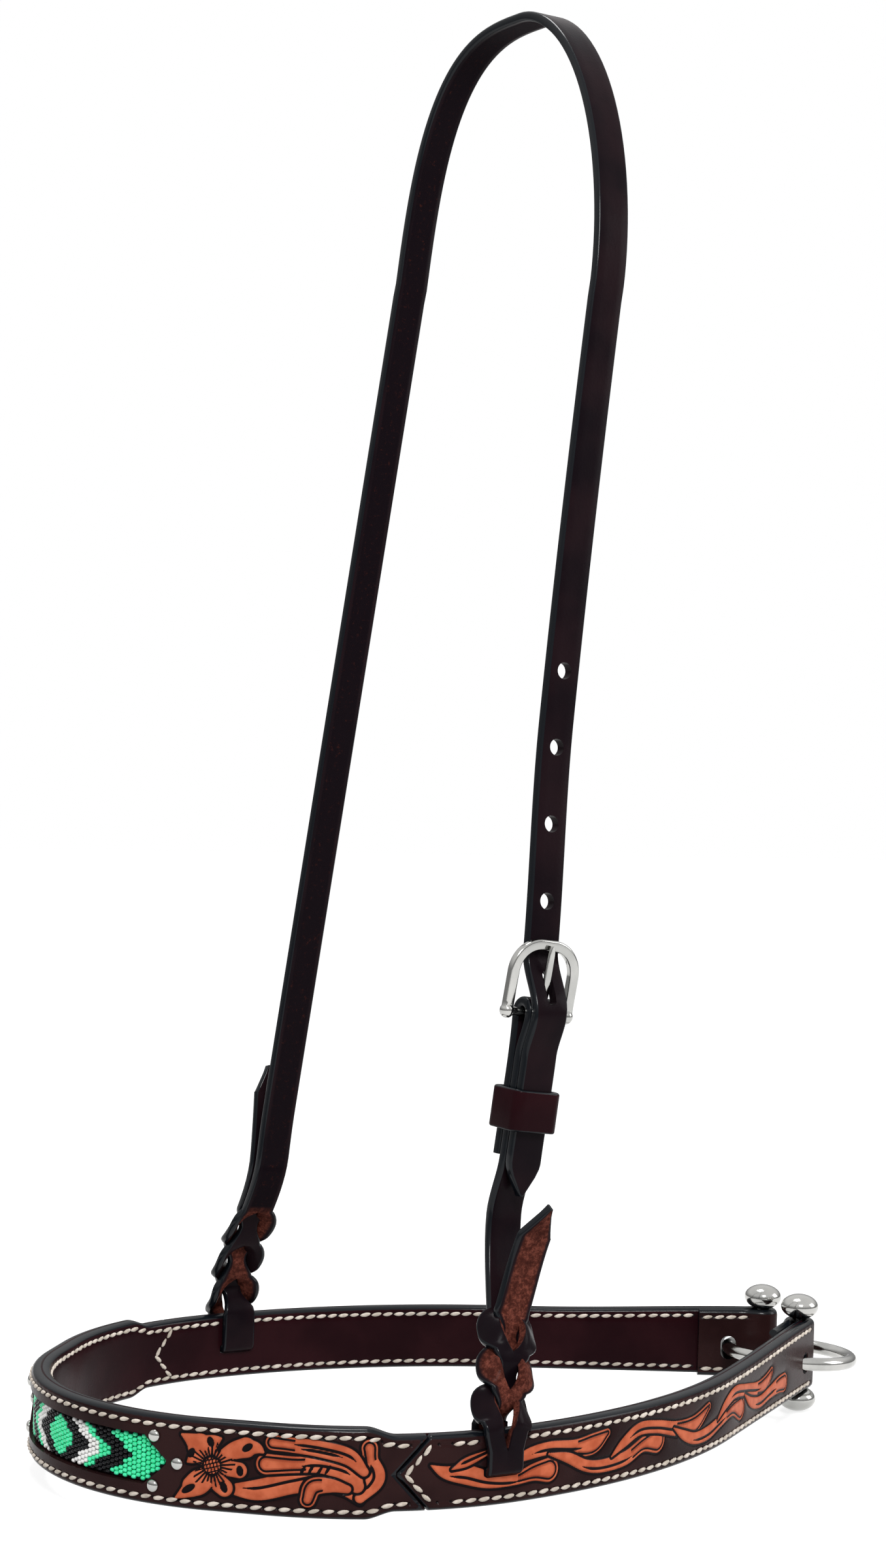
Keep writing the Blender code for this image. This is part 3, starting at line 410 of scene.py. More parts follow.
band_dark = (0.016, 0.0062, 0.0066)
band_light = (0.029, 0.0115, 0.0115)
lining_dark = (0.013, 0.0026, 0.0042)
lining_light = (0.022, 0.0050, 0.0070)
hanger_dark = (0.0060, 0.0034, 0.0052)
hanger_light = (0.0125, 0.0058, 0.0078)
edge_black = (0.0045, 0.006, 0.0085)
# painted shade: the near black put into the carved cut lines and the awl holes
cut_shade_black = (0.0065, 0.0045, 0.0055)
flesh_brown = (0.052, 0.013, 0.009)
flesh_russet = (0.215, 0.062, 0.042)
flesh_damp = (0.030, 0.008, 0.006)
tan_dark = (0.47, 0.098, 0.042)
tan_light = (0.63, 0.155, 0.072)
tan_shade = (0.20, 0.030, 0.014)
print("band colours", band_dark, band_light)

# %% [markdown]
# The flesh side of a hide is fibrous and takes the dye in patches. It is slicked down with dye
# along the hanger, and left raw in the knots, where the halves of the slit strap turn over.

# %% Flesh side and leaves
face_roughness = 0.3
flesh_roughness = 0.9
leaf_roughness = 0.39
ground_roughness = 0.27
fibre_height = 3.0


def flesh_side(tree, dark, face_colour, face_height):
    """Colour, roughness and height, with the flesh side where its mask says."""
    fibre = noise(tree, 620.0, 7.0, 0.75)
    patch = stretch(tree, noise(tree, 170.0, 4.0), 0.45, 0.7)
    mask = stretch(tree, attribute(tree, "flesh"), 0.35, 0.65)
    nap = mixed(tree, stretch(tree, fibre, 0.40, 0.70), flesh_brown, flesh_russet)
    nap = mixed(tree, maths(tree, "MULTIPLY", patch, 0.45), nap, flesh_damp)
    slicked = mixed(tree, stretch(tree, fibre, 0.55, 0.78), dark, flesh_brown)
    nap = mixed(tree, attribute(tree, "bare"), slicked, nap)
    rough = maths(tree, "MULTIPLY_ADD", mask, flesh_roughness - face_roughness, face_roughness)
    fibres = maths(tree, "MULTIPLY", fibre, mask)
    return (mixed(tree, mask, face_colour, nap), rough,
            maths(tree, "MULTIPLY_ADD", fibres, fibre_height, face_height))


def carved_leaves(tree, ground):
    """Colour and roughness of the ground with tan leaves in it, and its cut lines and awl holes darkened with
    painted shade.
    """
    leaf = stretch(tree, attribute(tree, "leaf"), 0.42, 0.58)
    tan = mixed(tree, stretch(tree, noise(tree, 230.0, 6.0), 0.3, 0.7), tan_dark, tan_light)
    tan = mixed(tree, maths(tree, "MULTIPLY", attribute(tree, "shade"), 0.75), tan, tan_shade)
    # painted shade: the carve mask darkens the cut lines and awl holes towards near black
    cut_shade = stretch(tree, attribute(tree, "carve"), 0.28, 0.62)
    colour = mixed(tree, cut_shade, mixed(tree, leaf, ground, tan), cut_shade_black)
    rough = maths(tree, "MULTIPLY_ADD", leaf, leaf_roughness - ground_roughness, ground_roughness)
    return colour, rough


print("flesh roughness", flesh_roughness, "leaf roughness", leaf_roughness)

# %% Leather materials
edge_coat = 0.3
leather_coat_roughness = 0.12
leather_gloss = 0.03


def leather(name, dark, light, coat, tooled=False, fleshy=False):
    """Waxed leather with black edges, and if asked carved tan leaves or a rough flesh side."""
    material, tree, shader = new_material(name)
    grain = use_group(tree, grain_group, Pebble=1100.0, Crease=0.45)
    colour = mixed(tree, grain.outputs["Cloud"], dark, light)
    rough = face_roughness
    height = grain.outputs["Height"]
    if fleshy:
        colour, rough, height = flesh_side(tree, dark, colour, height)
    if tooled:
        colour, rough = carved_leaves(tree, colour)
    finish = use_group(tree, edge_group, Face_Color=colour, Face_Roughness=rough,
                       Edge_Color=edge_black, Edge_Roughness=face_roughness, Ragged=0.25)
    wear = use_group(tree, wear_group, Roughness=finish.outputs["Roughness"], Amount=0.16)
    coat_weight = maths(tree, "MULTIPLY_ADD", finish.outputs["Mask"], edge_coat, coat)
    tree.links.new(coat_weight, shader.inputs["Coat Weight"])
    tree.links.new(finish.outputs["Color"], shader.inputs["Base Color"])
    tree.links.new(wear.outputs["Roughness"], shader.inputs["Roughness"])
    shader.inputs["Coat Roughness"].default_value = leather_coat_roughness
    shader.inputs["Specular IOR Level"].default_value = leather_gloss
    bump(tree, shader, height, 0.35, 0.12 * MM)
    return material


band_leather = leather("band leather", band_dark, band_light, 0.03, tooled=True)
lining_leather = leather("lining leather", lining_dark, lining_light, 0.02)
hanger_leather = leather("hanger leather", hanger_dark, hanger_light, 0.02, fleshy=True)
print("leathers:", band_leather.name, lining_leather.name, hanger_leather.name)

# %% [markdown]
# Waxed linen thread is pale and matt, with the twist of its plies; the twist is in the mesh, so
# the shader only adds dirt in patches. Seed beads are opaque glass: a strong colour under a clear
# sharp gloss. Nickel plate is a metal whose roughness changes a little where it was buffed; its
# colour moves between two greys in broad clouds, painted reflection that stands in for the light
# and dark which polished metal mirrors.

# %% Thread, beads, felt and nickel
glass_coat_roughness = 0.06


def coloured(name, first, second, scale, roughness, amount, metallic=0.0, coat=0.0, gloss=0.5,
             bump_depth=0.02 * MM):
    """A material whose colour moves between two values in small clouds."""
    material, tree, shader = new_material(name)
    share = stretch(tree, noise(tree, scale, 4.0), 0.35, 0.65)
    tree.links.new(mixed(tree, share, first, second), shader.inputs["Base Color"])
    wear = use_group(tree, wear_group, Roughness=roughness, Amount=amount)
    tree.links.new(wear.outputs["Roughness"], shader.inputs["Roughness"])
    shader.inputs["Metallic"].default_value = metallic
    shader.inputs["Coat Weight"].default_value = coat
    shader.inputs["Coat Roughness"].default_value = glass_coat_roughness
    shader.inputs["Specular IOR Level"].default_value = gloss
    bump(tree, shader, wear.outputs["Scratch"], 0.2, bump_depth)
    return material


thread = coloured("waxed thread", (0.72, 0.64, 0.56), (0.48, 0.42, 0.35), 300.0, 0.62, 0.2)
green_glass = coloured("green glass", (0.030, 0.80, 0.36), (0.060, 0.92, 0.47), 350.0, 0.24, 0.1,
                       coat=0.3, gloss=0.4)
white_glass = coloured("white glass", (0.88, 0.87, 0.85), (0.95, 0.94, 0.93), 350.0, 0.24, 0.1,
                       coat=0.3, gloss=0.4)
black_glass = coloured("black glass", (0.003, 0.003, 0.004), (0.008, 0.008, 0.010), 350.0, 0.14, 0.08,
                       coat=0.12, gloss=0.1)
felt = coloured("black felt", (0.006, 0.006, 0.007), (0.016, 0.015, 0.016), 900.0, 0.95, 0.1,
                bump_depth=0.15 * MM)
# painted reflection: broad clouds between two greys stand in for the light and dark that polished nickel
# mirrors
nickel = coloured("nickel", (0.40, 0.40, 0.385), (0.51, 0.505, 0.485), 60.0, 0.13, 0.10, metallic=1.0,
                  bump_depth=0.004 * MM)
print("finishes:", len(bpy.data.materials))

# %% [markdown]
# ## Carved leaves
# A saddler cuts each outline with a swivel knife, bevels the ground down beside it and leaves the
# leaf high. Here every leaf is a curved spine with a width along it. The distance from a point to
# that shape says at once whether it is inside, how deep the bevel is, and where an inner cut runs.

# %% A leaf as a distance
def smooth_line(points, count=56):
    """Points on a smooth curve through a few chosen ones."""
    points = np.asarray(points, float)
    padded = np.concatenate([[2 * points[0] - points[1]], points, [2 * points[-1] - points[-2]]])
    spots = np.linspace(0.0, len(points) - 1.0, count)
    cell = np.minimum(spots.astype(int), len(points) - 2)
    t = (spots - cell)[:, None]
    a, b, c, d = (padded[cell + k] for k in range(4))
    square = 2 * a - 5 * b + 4 * c - d
    cube = 3 * b - a - 3 * c + d
    return 0.5 * (2 * b + (c - a) * t + square * t ** 2 + cube * t ** 3)


def leaf_distance(run, rise, spine):
    """Distance outside a leaf, and the share and side offset at its nearest spine point."""
    line = smooth_line(spine)
    best = np.full(run.shape, 1e3)
    share = np.zeros(run.shape)
    across = np.zeros(run.shape)
    heading = np.gradient(line[:, :2], axis=0)
    heading /= np.linalg.norm(heading, axis=1)[:, None]
    for number, (x, y, half) in enumerate(line):
        dx, dy = run - x, rise - y
        gap = np.hypot(dx, dy) - half
        closer = gap < best
        best = np.where(closer, gap, best)
        share = np.where(closer, number / (len(line) - 1), share)
        across = np.where(closer, heading[number, 0] * dy - heading[number, 1] * dx, across)
    return best, share, across


outline_cut = dict(width=0.34, depth=0.45)
rim_cut = dict(width=0.27, depth=0.32)
outline_reach = 0.26
vein_width = (0.05, 0.33)
vein_depth = 0.34
bevel_depth = 0.42
bevel_width = 1.5
leaf_crown = 0.10
plain_far = 30.0


class Carving:
    """Masks and depth of one carved panel, built up leaf by leaf, in millimetres."""

    def __init__(self, run, rise):
        self.run, self.rise = run, rise
        self.leaf = np.zeros(run.shape)
        self.carve = np.zeros(run.shape)
        self.shade = np.zeros(run.shape)
        self.outside = np.full(run.shape, plain_far)
        self.depth = np.zeros(run.shape)

    def line(self, gap, width=0.24, depth=0.30, where=True):
        """Cut a line where a distance is close to zero: a groove in the depth, darkened with painted shade in
        the carve mask.
        """
        strength = np.clip(1.25 - np.abs(gap) / width / 1.6, 0.0, 1.0) * where
        self.carve = np.maximum(self.carve, strength)
        self.depth = np.maximum(self.depth, depth * strength)

    def blade(self, spine, rim=0.0, rim_from=0.55, vein=None, fatness=1.0, corners=()):
        """A leaf or stem; `rim` cuts a line inside its round end, `vein` one along its length.

        `corners` are further spines that belong to the same outline.
        """
        spine = [(run, rise, half * fatness) for run, rise, half in spine]
        gap, share, across = leaf_distance(self.run, self.rise, spine)
        for corner in corners:
            gap = np.minimum(gap, leaf_distance(self.run, self.rise, corner)[0])
        inside = gap < 0.45
        self.carve = np.where(inside, 0.0, self.carve)
        self.depth = np.where(inside, 0.0, self.depth)
        self.leaf = np.maximum(self.leaf, np.clip(0.5 - gap / 0.7, 0.0, 1.0))
        self.shade = np.where(gap < 0.0, np.clip(1.0 + gap / 0.8, 0.0, 1.0) * 0.55, self.shade)
        self.outside = np.minimum(self.outside, gap)
        self.line(gap - outline_reach, **outline_cut)
        if rim:
            at_rim = share > rim_from
            self.line(gap + rim, where=at_rim, **rim_cut)
            hollow = np.clip(1.0 - np.abs(gap + rim + 0.5) / 0.6, 0.0, 1.0)
            self.shade = np.maximum(self.shade, np.where(at_rim & (gap < 0.0), hollow, 0.0))
        for start, end, offset in vein or ():
            fade = np.clip(np.minimum(share - start, end - share) / 0.08, 0.0, 1.0)
            on_vein = (share > start) & (share < end) & (gap < 0.0)
            self.line(across - offset, vein_width[0] + vein_width[1] * fade, vein_depth, on_vein)

    def finish(self):
        """Depth of the ground: bevelled down beside each leaf, level again further out."""
        ground = bevel_depth * np.exp(-np.clip(self.outside, 0.0, plain_far) / bevel_width)
        crown = -leaf_crown * np.clip(-self.outside / 1.2, 0.0, 1.0)
        self.depth = np.where(self.outside > 0.0, np.maximum(ground, self.depth), self.depth + crown)
        return self.depth


print("a leaf is a spine with a width at each point")

# %% [markdown]
# The panels hold a five-petal flower with a hatched heart and scrolling leaves, the usual western
# florals. The spines are given in millimetres: run from the nose, height over the band's
# middle line, and half the width there.

# %% Side strap leaves
side_fatness = 1.22
side_leaves = (
    dict(spine=((134, 2.6, 0.3), (139, 0.2, 1.7), (146, -1.0, 2.6), (154, -3.2, 2.3), (163, -4.0, 1.7),
                (171, -2.6, 2.4), (177, -2.6, 3.3)), rim=1.2, rim_from=0.70, vein=((0.2, 0.72, -0.9),)),
    dict(spine=((141, 1.0, 0.3), (146, 3.0, 1.3), (152, 5.0, 0.9), (157, 6.6, 0.3)), vein=((0.2, 0.8, 0.2),)),
    dict(spine=((160, 0.6, 0.3), (168, 3.2, 1.6), (177, 4.2, 1.9), (188, 3.0, 2.3), (196, 3.2, 2.9),
                (202.5, 5.8, 1.3)), rim=1.0, rim_from=0.62, vein=((0.25, 0.68, -0.4),)),
    dict(spine=((177, 2.4, 0.5), (185, 0.2, 1.5), (193, -3.4, 1.7), (201, -4.6, 1.9), (212, -3.8, 2.1),
                (221, -0.8, 2.2), (229, -0.6, 3.6)), rim=1.2, rim_from=0.72, vein=((0.3, 0.72, -0.6),)),
    dict(spine=((205, -2.2, 0.4), (211, 1.4, 1.5), (219, 4.6, 1.9), (229, 3.8, 1.9), (241, 1.2, 2.2),
                (253, 0.4, 2.7), (264, 4.6, 1.3)), rim=1.0, rim_from=0.66, vein=((0.22, 0.72, -0.4),)),
    dict(spine=((239, 1.6, 0.4), (246, -2.0, 1.5), (254, -4.4, 1.8), (264, -4.4, 2.1), (275, -2.4, 1.9),
                (287, -0.6, 2.2), (296, -2.0, 3.7)), rim=1.2, rim_from=0.74, vein=((0.3, 0.74, -0.6),)),
    dict(spine=((272, -1.6, 0.4), (280, 2.4, 1.5), (290, 4.6, 1.9), (303, 3.0, 1.9), (316, 0.8, 2.2),
                (326, 0.8, 2.6), (333, 4.0, 1.2)), rim=1.0, rim_from=0.66, vein=((0.25, 0.72, -0.4),)),
    dict(spine=((301, 1.6, 0.4), (309, -2.6, 1.6), (319, -4.6, 1.9), (331, -3.8, 2.0), (342, -3.2, 2.6),
                (349, -3.6, 3.0)), rim=1.1, rim_from=0.74, vein=((0.3, 0.74, -0.5),)))


def carve_side(run, rise, side):
    """The carving of a side strap, moved back where that strap starts further from the nose."""
    carving = Carving(run / MM - (splice_run[side] - splice_run[1]) / MM, rise / MM)
    for leaf in side_leaves:
        carving.blade(**leaf, fatness=side_fatness)
    carving.finish()
    return carving


print("side leaves:", len(side_leaves))

# %% Flower and nose leaves
flower = (65.2, 0.4)
nose_leaves = (
    dict(spine=((71, -6.4, 1.4), (80, -6.0, 3.0), (91, -3.0, 3.2), (100, -1.2, 3.6), (108, -3.0, 3.4),
                (112, -8.2, 1.0)), vein=((0.1, 0.62, 0.6),)),
    dict(spine=((112, -7.0, 1.6), (116.5, -1.0, 2.8), (115.0, 4.6, 2.2), (114.5, 8.4, 2.4)), rim=1.0,
         rim_from=0.62, vein=((0.1, 0.6, 0.5),)),
    dict(spine=((111, -3.4, 2.0), (108, 1.0, 3.0), (100, 3.0, 2.6), (92, 2.6, 2.4), (82.5, 2.2, 3.0)),
         rim=1.1, rim_from=0.66, vein=((0.2, 0.7, 0.4),)),
    dict(spine=((113, 1.0, 1.4), (108, 5.6, 2.4), (99, 7.8, 2.4), (90, 8.6, 2.2), (84.5, 9.0, 2.3)), rim=1.0,
         rim_from=0.70, vein=((0.15, 0.72, -0.3), (0.3, 0.66, 0.9))),
    dict(spine=((108, -4.4, 1.2), (103, -3.4, 2.0), (97.5, -4.0, 2.6), (95.8, -8.0, 2.3)), rim=1.0,
         rim_from=0.5),
)
petals = (
    dict(spine=((67.0, 2.0, 2.0), (72.0, 5.4, 2.8), (76.0, 6.8, 3.3)),
         corners=(((76.0, 7.0, 2.9), (79.4, 6.9, 1.8), (81.4, 5.8, 0.6)),)),
    dict(spine=((67.0, -0.4, 2.0), (71.0, -0.2, 2.5), (74.0, -0.4, 2.6))),
    dict(spine=((66.0, -2.0, 2.2), (67.4, -4.6, 2.9), (69.4, -6.2, 2.9))),
    dict(spine=((65.0, -1.6, 2.0), (61.6, -4.8, 3.9), (59.0, -6.6, 3.4)),
         corners=(((59.0, -7.0, 3.0), (56.2, -9.0, 1.7), (53.6, -10.8, 0.5)),)),
    dict(spine=((65.6, 1.2, 2.0), (62.8, 4.4, 4.2), (61.2, 6.0, 4.2)),
         corners=(((60.4, 6.6, 3.4), (57.8, 8.0, 1.9), (55.1, 9.2, 0.5)),
                  ((62.6, 6.2, 3.5), (65.6, 8.0, 2.0), (67.9, 9.0, 0.5)),
                  ((61.0, 4.0, 2.9), (59.0, 2.2, 1.7), (57.3, 0.9, 0.5)))))
eyes = ((58.4, 3.8, 60.0, 1.0), (64.6, 7.7, 110.0, 1.0), (76.4, 6.8, 35.0, 1.15), (74.2, -0.6, 100.0, 1.0),
        (69.2, -6.0, 115.0, 1.1), (57.8, -7.4, 32.0, 1.5))


def oval(run, rise, x, y, turn, long, short):
    """Distance-like value of a turned oval, below zero inside it."""
    angle = math.radians(turn)
    u = (run - x) * math.cos(angle) + (rise - y) * math.sin(angle)
    v = (rise - y) * math.cos(angle) - (run - x) * math.sin(angle)
    return (np.hypot(u / long, v / short) - 1.0) * min(long, short)


nose_fatness = 1.12
heart_radius = 2.7
heart_hatch = (1.15, 1.3)
ray_count = 26
ray_length = (6.3, 1.3)
flower_reach = 7.2
vein_marks = 4


def carve_heart(carving):
    """The flower's rays, and its round heart hatched with crossing cuts."""
    dx, dy = carving.run - flower[0], carving.rise - flower[1]
    reach = np.hypot(dx, dy)
    angle = np.arctan2(dy, dx)
    inside = carving.outside < -0.3
    length = ray_length[0] + ray_length[1] * np.sin(angle * len(petals) + 0.8)
    ray_pitch = math.tau / ray_count
    spoke = np.abs(np.mod(angle / ray_pitch, 1.0) - 0.5) * ray_pitch * reach
    carving.carve = np.where((reach < flower_reach) & inside, 0.0, carving.carve)
    carving.line(spoke, 0.24, 0.28, (reach > heart_radius + 0.2) & (reach < length) & inside)
    heart = reach < heart_radius
    carving.leaf = np.maximum(carving.leaf, heart * 1.0)
    carving.carve = np.where(heart, 0.0, carving.carve)
    hatch = [np.abs(np.mod(across, pitch) - pitch / 2.0)
             for across, pitch in zip((dx + 0.3 * dy, dy - 0.3 * dx), heart_hatch)]
    carving.line(np.minimum(*hatch), 0.16, 0.3, heart)
    carving.line(reach - heart_radius - 0.1, 0.22, 0.35)


def carve_nose(run, rise):
    """The carving of one side of the nose piece: leaves, then the flower over them."""
    carving = Carving(np.abs(run) / MM, rise / MM)
    for leaf in nose_leaves:
        carving.blade(**leaf, fatness=nose_fatness)
    for petal in petals:
        carving.blade(**petal)
    carve_heart(carving)
    for x, y, turn, size in eyes:
        hollow = oval(carving.run, carving.rise, x, y, turn, 1.3 * size, 0.85)
        carving.line(np.maximum(hollow, 0.0), 0.2, 0.55)
    for number in range(vein_marks):
        mark = oval(carving.run, carving.rise, 94.0 + 2.6 * number, 1.0 + 0.5 * (number % 2), 60.0, 1.0, 0.3)
        carving.line(np.maximum(mark, 0.0), 0.16, 0.3)
    carving.finish()
    return carving


print("petals:", len(petals), "nose leaves:", len(nose_leaves))

# %% [markdown]
# ## Stitch rows
# The band is saddle stitched: every stitch is a short slanted grain of thread between two awl
# holes. A row is given by the runs of its holes, so the same numbers sink the holes into the
# leather and lay the thread over it.

# %% Stitch layout
stitch_pitch = 4.55 * MM
stitch_inset = 2.9 * MM
groove_depth = 0.22 * MM
awl_depth = 0.55 * MM
knot_run = {1: 158.6 * MM, -1: -175.5 * MM}


def hole_gap(run, start):
    """Distance along a row to its nearest awl hole."""
    return np.abs(np.mod(run - start + stitch_pitch / 2.0, stitch_pitch) - stitch_pitch / 2.0)


def stitch_relief(run, inset, start=0.0):
    """Depth of the groove and awl holes of a row at `stitch_inset` from an edge, and the mask by which the
    holes are darkened as painted shade.
    """
    off = inset - stitch_inset
    groove = groove_depth * np.exp(-(off / (0.7 * MM)) ** 2)
    hole = np.exp(-(hole_gap(run, start) / (0.55 * MM)) ** 2 - (off / (0.5 * MM)) ** 2)
    return groove + awl_depth * hole, hole


print("stitches per 100 mm:", round(0.1 / stitch_pitch, 1))

# %% [markdown]
# ## Band layers
# Every layer is a closed grid: the face rows run between the edges, then a rolled edge goes over
# to the back. Outer leather and lining share one rolled edge, as they were sanded and burnished
# together, so each takes its part of the same half round.

# %% A swept layer
face_insets = (2.1, 2.5, 2.9, 3.3)
edge_rise = 2.1 * MM
edge_steps = 7
edge_roundness = 2.3
edge_start_mask = 0.55
seam_rise_share = 0.15


def layer_section(half, face_rows, thickness, start, end, full_share):
    """Insets, depths and edge masks round a layer's section, for one half height per column.

    `start` and `end` are the layer's depths within the whole thickness that shares the rolled
    edge; `full_share` blends to an edge that the layer rolls alone.
    """
    columns = len(half)
    scale = np.minimum(1.0, half / (4.2 * MM))[:, None]
    rows = []
    fixed = np.asarray(face_insets) * MM
    inner = half[:, None] - fixed[-1] * scale
    for inset in fixed[:-1]:
        rows.append((-half[:, None] + inset * scale, start, 0.0))
    for share in np.linspace(-1.0, 1.0, face_rows):
        rows.append((inner * share, start, 0.0))
    for inset in fixed[-2::-1]:
        rows.append((half[:, None] - inset * scale, start, 0.0))
    front = len(rows)
    middle = (start + end) / 2.0
    for number in range(1, edge_steps + 1):
        angle = math.pi * number / (edge_steps + 1)
        alone = middle - (end - start) / 2.0 * math.cos(angle)
        alone_drop = 1.0 - math.sin(angle)
        shared = start + (end - start) * number / (edge_steps + 1)
        place = (shared - thickness / 2.0) / (thickness / 2.0)
        shared_drop = 1.0 - math.sqrt(max(1.0 - min(abs(place), 1.0) ** edge_roundness, 0.0))
        mask = 1.0 if 1 < number < edge_steps else edge_start_mask
        drop = shared_drop + (alone_drop - shared_drop) * full_share[:, None]
        rows.append((half[:, None] - scale * edge_rise * drop,
                     shared + (alone - shared) * full_share[:, None], mask))
    seam_share = seam_rise_share if start == 0.0 else 1.0
    back_high = half[:, None] - scale * edge_rise * np.where(full_share[:, None] > 0.5, 1.0, seam_share)
    for share in (1.0, 0.5, 0.0, -0.5, -1.0):
        rows.append((back_high * share, end, 0.0))
    for height, depth, mask in rows[front:front + edge_steps][::-1]:
        rows.append((-height, depth, mask))
    heights = np.concatenate([np.broadcast_to(h, (columns, 1)) for h, _, _ in rows], axis=1)
    depths = np.concatenate([np.broadcast_to(d, (columns, 1)) for _, d, _ in rows], axis=1)
    masks = np.array([m for _, _, m in rows])
    return heights, depths, np.broadcast_to(masks, heights.shape), front


def band_piece(name, columns, half, middle, face_rows, start, end, material, place, full=None,
               relief=None, thickness=band_thickness):
    """A layer swept along its columns; `place` turns columns and depths into points."""
    full = np.zeros(len(columns)) if full is None else full
    heights, depths, edge, front = layer_section(half, face_rows, thickness, start, end, full)
    runs = np.broadcast_to(columns[:, None], heights.shape)
    masks = {"edge": edge.copy()}
    for label in ("leaf", "carve", "shade"):
        masks[label] = np.zeros(edge.shape)
    depths = depths.copy()
    if relief:
        relief(runs, heights, depths, masks, front, half)
    x, y = place(runs, depths)
    points = np.stack([x, y, middle[:, None] + heights], -1)
    return make_mesh(name, points, grid_faces(len(columns), heights.shape[1]), material, masks)


def spaced(first, last, step):
    return np.linspace(first, last, max(int(round(abs(last - first) / step)), 1) + 1)


print("a section has", len(face_insets) * 2 + edge_steps * 2 + 5, "points beside its face rows")

# %% [markdown]
# The lining runs from end to end inside the band. Its visible face is the inner one, so the grid's
# front is turned inwards: the same section, with its depths counted from the other side.

# %% Lining
seam_depth = outer_thickness + seat_gap / 2.0
lining_end = half_run - pin_radius - seat_gap - lining_end_gap


def inside_place(runs, depths):
    x, y, _, _ = plan(runs, band_thickness - depths)
    return x, y


def inside_relief(runs, heights, depths, masks, front, half):
    """Stitch grooves and holes on the inner face, the holes darkened with the edge black as painted shade."""
    for inset in (half[:, None] - heights, half[:, None] + heights):
        sunk, hole = stitch_relief(runs[:, :front], inset[:, :front])
        depths[:, :front] += sunk * 0.8
        masks["edge"][:, :front] = np.maximum(masks["edge"][:, :front], hole)


runs = spaced(-lining_end, lining_end, 1.1 * MM)
lining = band_piece("lining_leather", runs, band_half(runs), middle_at(runs), 16, 0.0,
                    band_thickness - seam_depth, lining_leather, inside_place, relief=inside_relief)

# %% [markdown]
# The nose piece has the carved flowers, the window and a notch at each end. The window and the
# notches are cut with Booleans, as a knife would cut them, after the face has been carved.

# %% Nose piece
def outside_place(runs, depths):
    x, y, _, _ = plan(runs, depths)
    return x, y


def edge_stitches(runs, heights, depths, masks, front, half, keep=True):
    """Stitch grooves and holes along both edges of an outer face, the holes darkened with the cut black as
    painted shade.
    """
    for inset in (half[:, None] - heights, half[:, None] + heights):
        sunk, hole = stitch_relief(runs[:, :front], inset[:, :front])
        depths[:, :front] += sunk * keep
        masks["carve"][:, :front] = np.maximum(masks["carve"][:, :front], 0.9 * hole * keep)


def put_carving(carving, depths, masks, front):
    depths[:, :front] += carving.depth * MM
    for label in ("leaf", "carve", "shade"):
        masks[label][:, :front] = np.maximum(masks[label][:, :front], getattr(carving, label))


splice_wax_width = 0.9 * MM
splice_bevel_width = 0.75 * MM
splice_bevel_depth = 0.55 * MM


def splice_gap(runs, heights, tip):
    """Distance of places behind a splice's slanted cuts, below zero on the nose piece's side."""
    behind = (runs - tip) - (np.abs(heights) - splice_tip_height / 2.0) * splice_slope
    return behind / math.hypot(1.0, splice_slope)


def splice_black(off):
    """Mask of the black wax beside a splice; `off` is the distance inside the cut."""
    return np.clip(1.7 - np.clip(off, 0.0, 1.0) / splice_wax_width, 0.0, 1.0)


def splice_bevel(off):
    return splice_bevel_depth * np.exp(-(np.clip(off, 0.0, 1.0) / splice_bevel_width) ** 2)


def nose_relief(runs, heights, depths, masks, front, half):
    put_carving(carve_nose(runs[:, :front], heights[:, :front]), depths, masks, front)
    edge_stitches(runs, heights, depths, masks, front, half)
    tip = np.where(runs < 0.0, splice_run[-1], splice_run[1])
    off = -splice_gap(np.abs(runs), heights, tip)
    masks["edge"][:, :front] = np.maximum(masks["edge"], splice_black(off))[:, :front]
    depths[:, :front] += splice_bevel(off)[:, :front]


carved_step = 0.36 * MM
plain_step = 0.9 * MM
end_near, end_far = (splice_run[side] + splice_point_length - prong_gap for side in (1, -1))
bare = window_half_length + 1.0 * MM
runs = np.concatenate([spaced(-end_far, -bare, carved_step), spaced(-bare, bare, plain_step)[1:-1],
                       spaced(bare, end_near, carved_step)])
nose_piece = band_piece("nose_leather", runs, band_half(runs), middle_at(runs), 72, 0.0, seam_depth,
                        band_leather, outside_place, relief=nose_relief)


over = 3.0 * MM


def prism(name, runs, half):
    """A closed knife along the band, `half` high either way, right through the outer leather."""
    heights = np.stack([-half, half, half, -half], 1)
    front, back = -over, outer_thickness + over
    depths = np.broadcast_to(np.array([front, front, back, back]), heights.shape)
    x, y = outside_place(np.broadcast_to(runs[:, None], heights.shape), depths)
    points = np.stack([x, y, middle_at(runs)[:, None] + heights], -1)
    return make_mesh(name, points, grid_faces(len(runs), 4), nickel)


marks = window_half_length - window_point_length
runs = np.concatenate([[-window_half_length], spaced(-marks, marks, 2.0 * MM), [window_half_length]])
half = np.where(np.abs(runs) > marks + 1e-6, window_tip_height, window_height) / 2.0
cut(nose_piece, prism("window_knife", runs, half))
for side in (1, -1):
    tip = splice_run[side]
    knee = tip + splice_point_length
    runs = side * np.array([tip - seat_gap, knee - seat_gap, knee + over])
    half = np.array([splice_tip_height / 2.0, side_height / 2.0, side_height / 2.0 + over]) + seat_gap
    cut(nose_piece, prism("notch_knife", runs, half))
dress(nose_piece, "band", "band leather", "nose_piece")

# %% [markdown]
# A side strap starts in a point, runs along the outside, goes round its pin and comes back inside.
# Its course is one long run: straight stretches take their places from the plan line, and the
# bend is a half circle about the pin.

# %% Side straps
fold_radius = pin_radius + seat_gap + outer_thickness / 2.0
fold_run = math.pi * fold_radius
fold_clearance = 2.0 * MM
carved_length = 233.0 * MM
course_end = half_run + fold_run + turn_back_length


def course_run(course):
    """The plan run that a place on the strap's course has."""
    back = 2.0 * half_run + fold_run - course
    return np.where(course <= half_run, course, np.where(course <= half_run + fold_run, half_run, back))


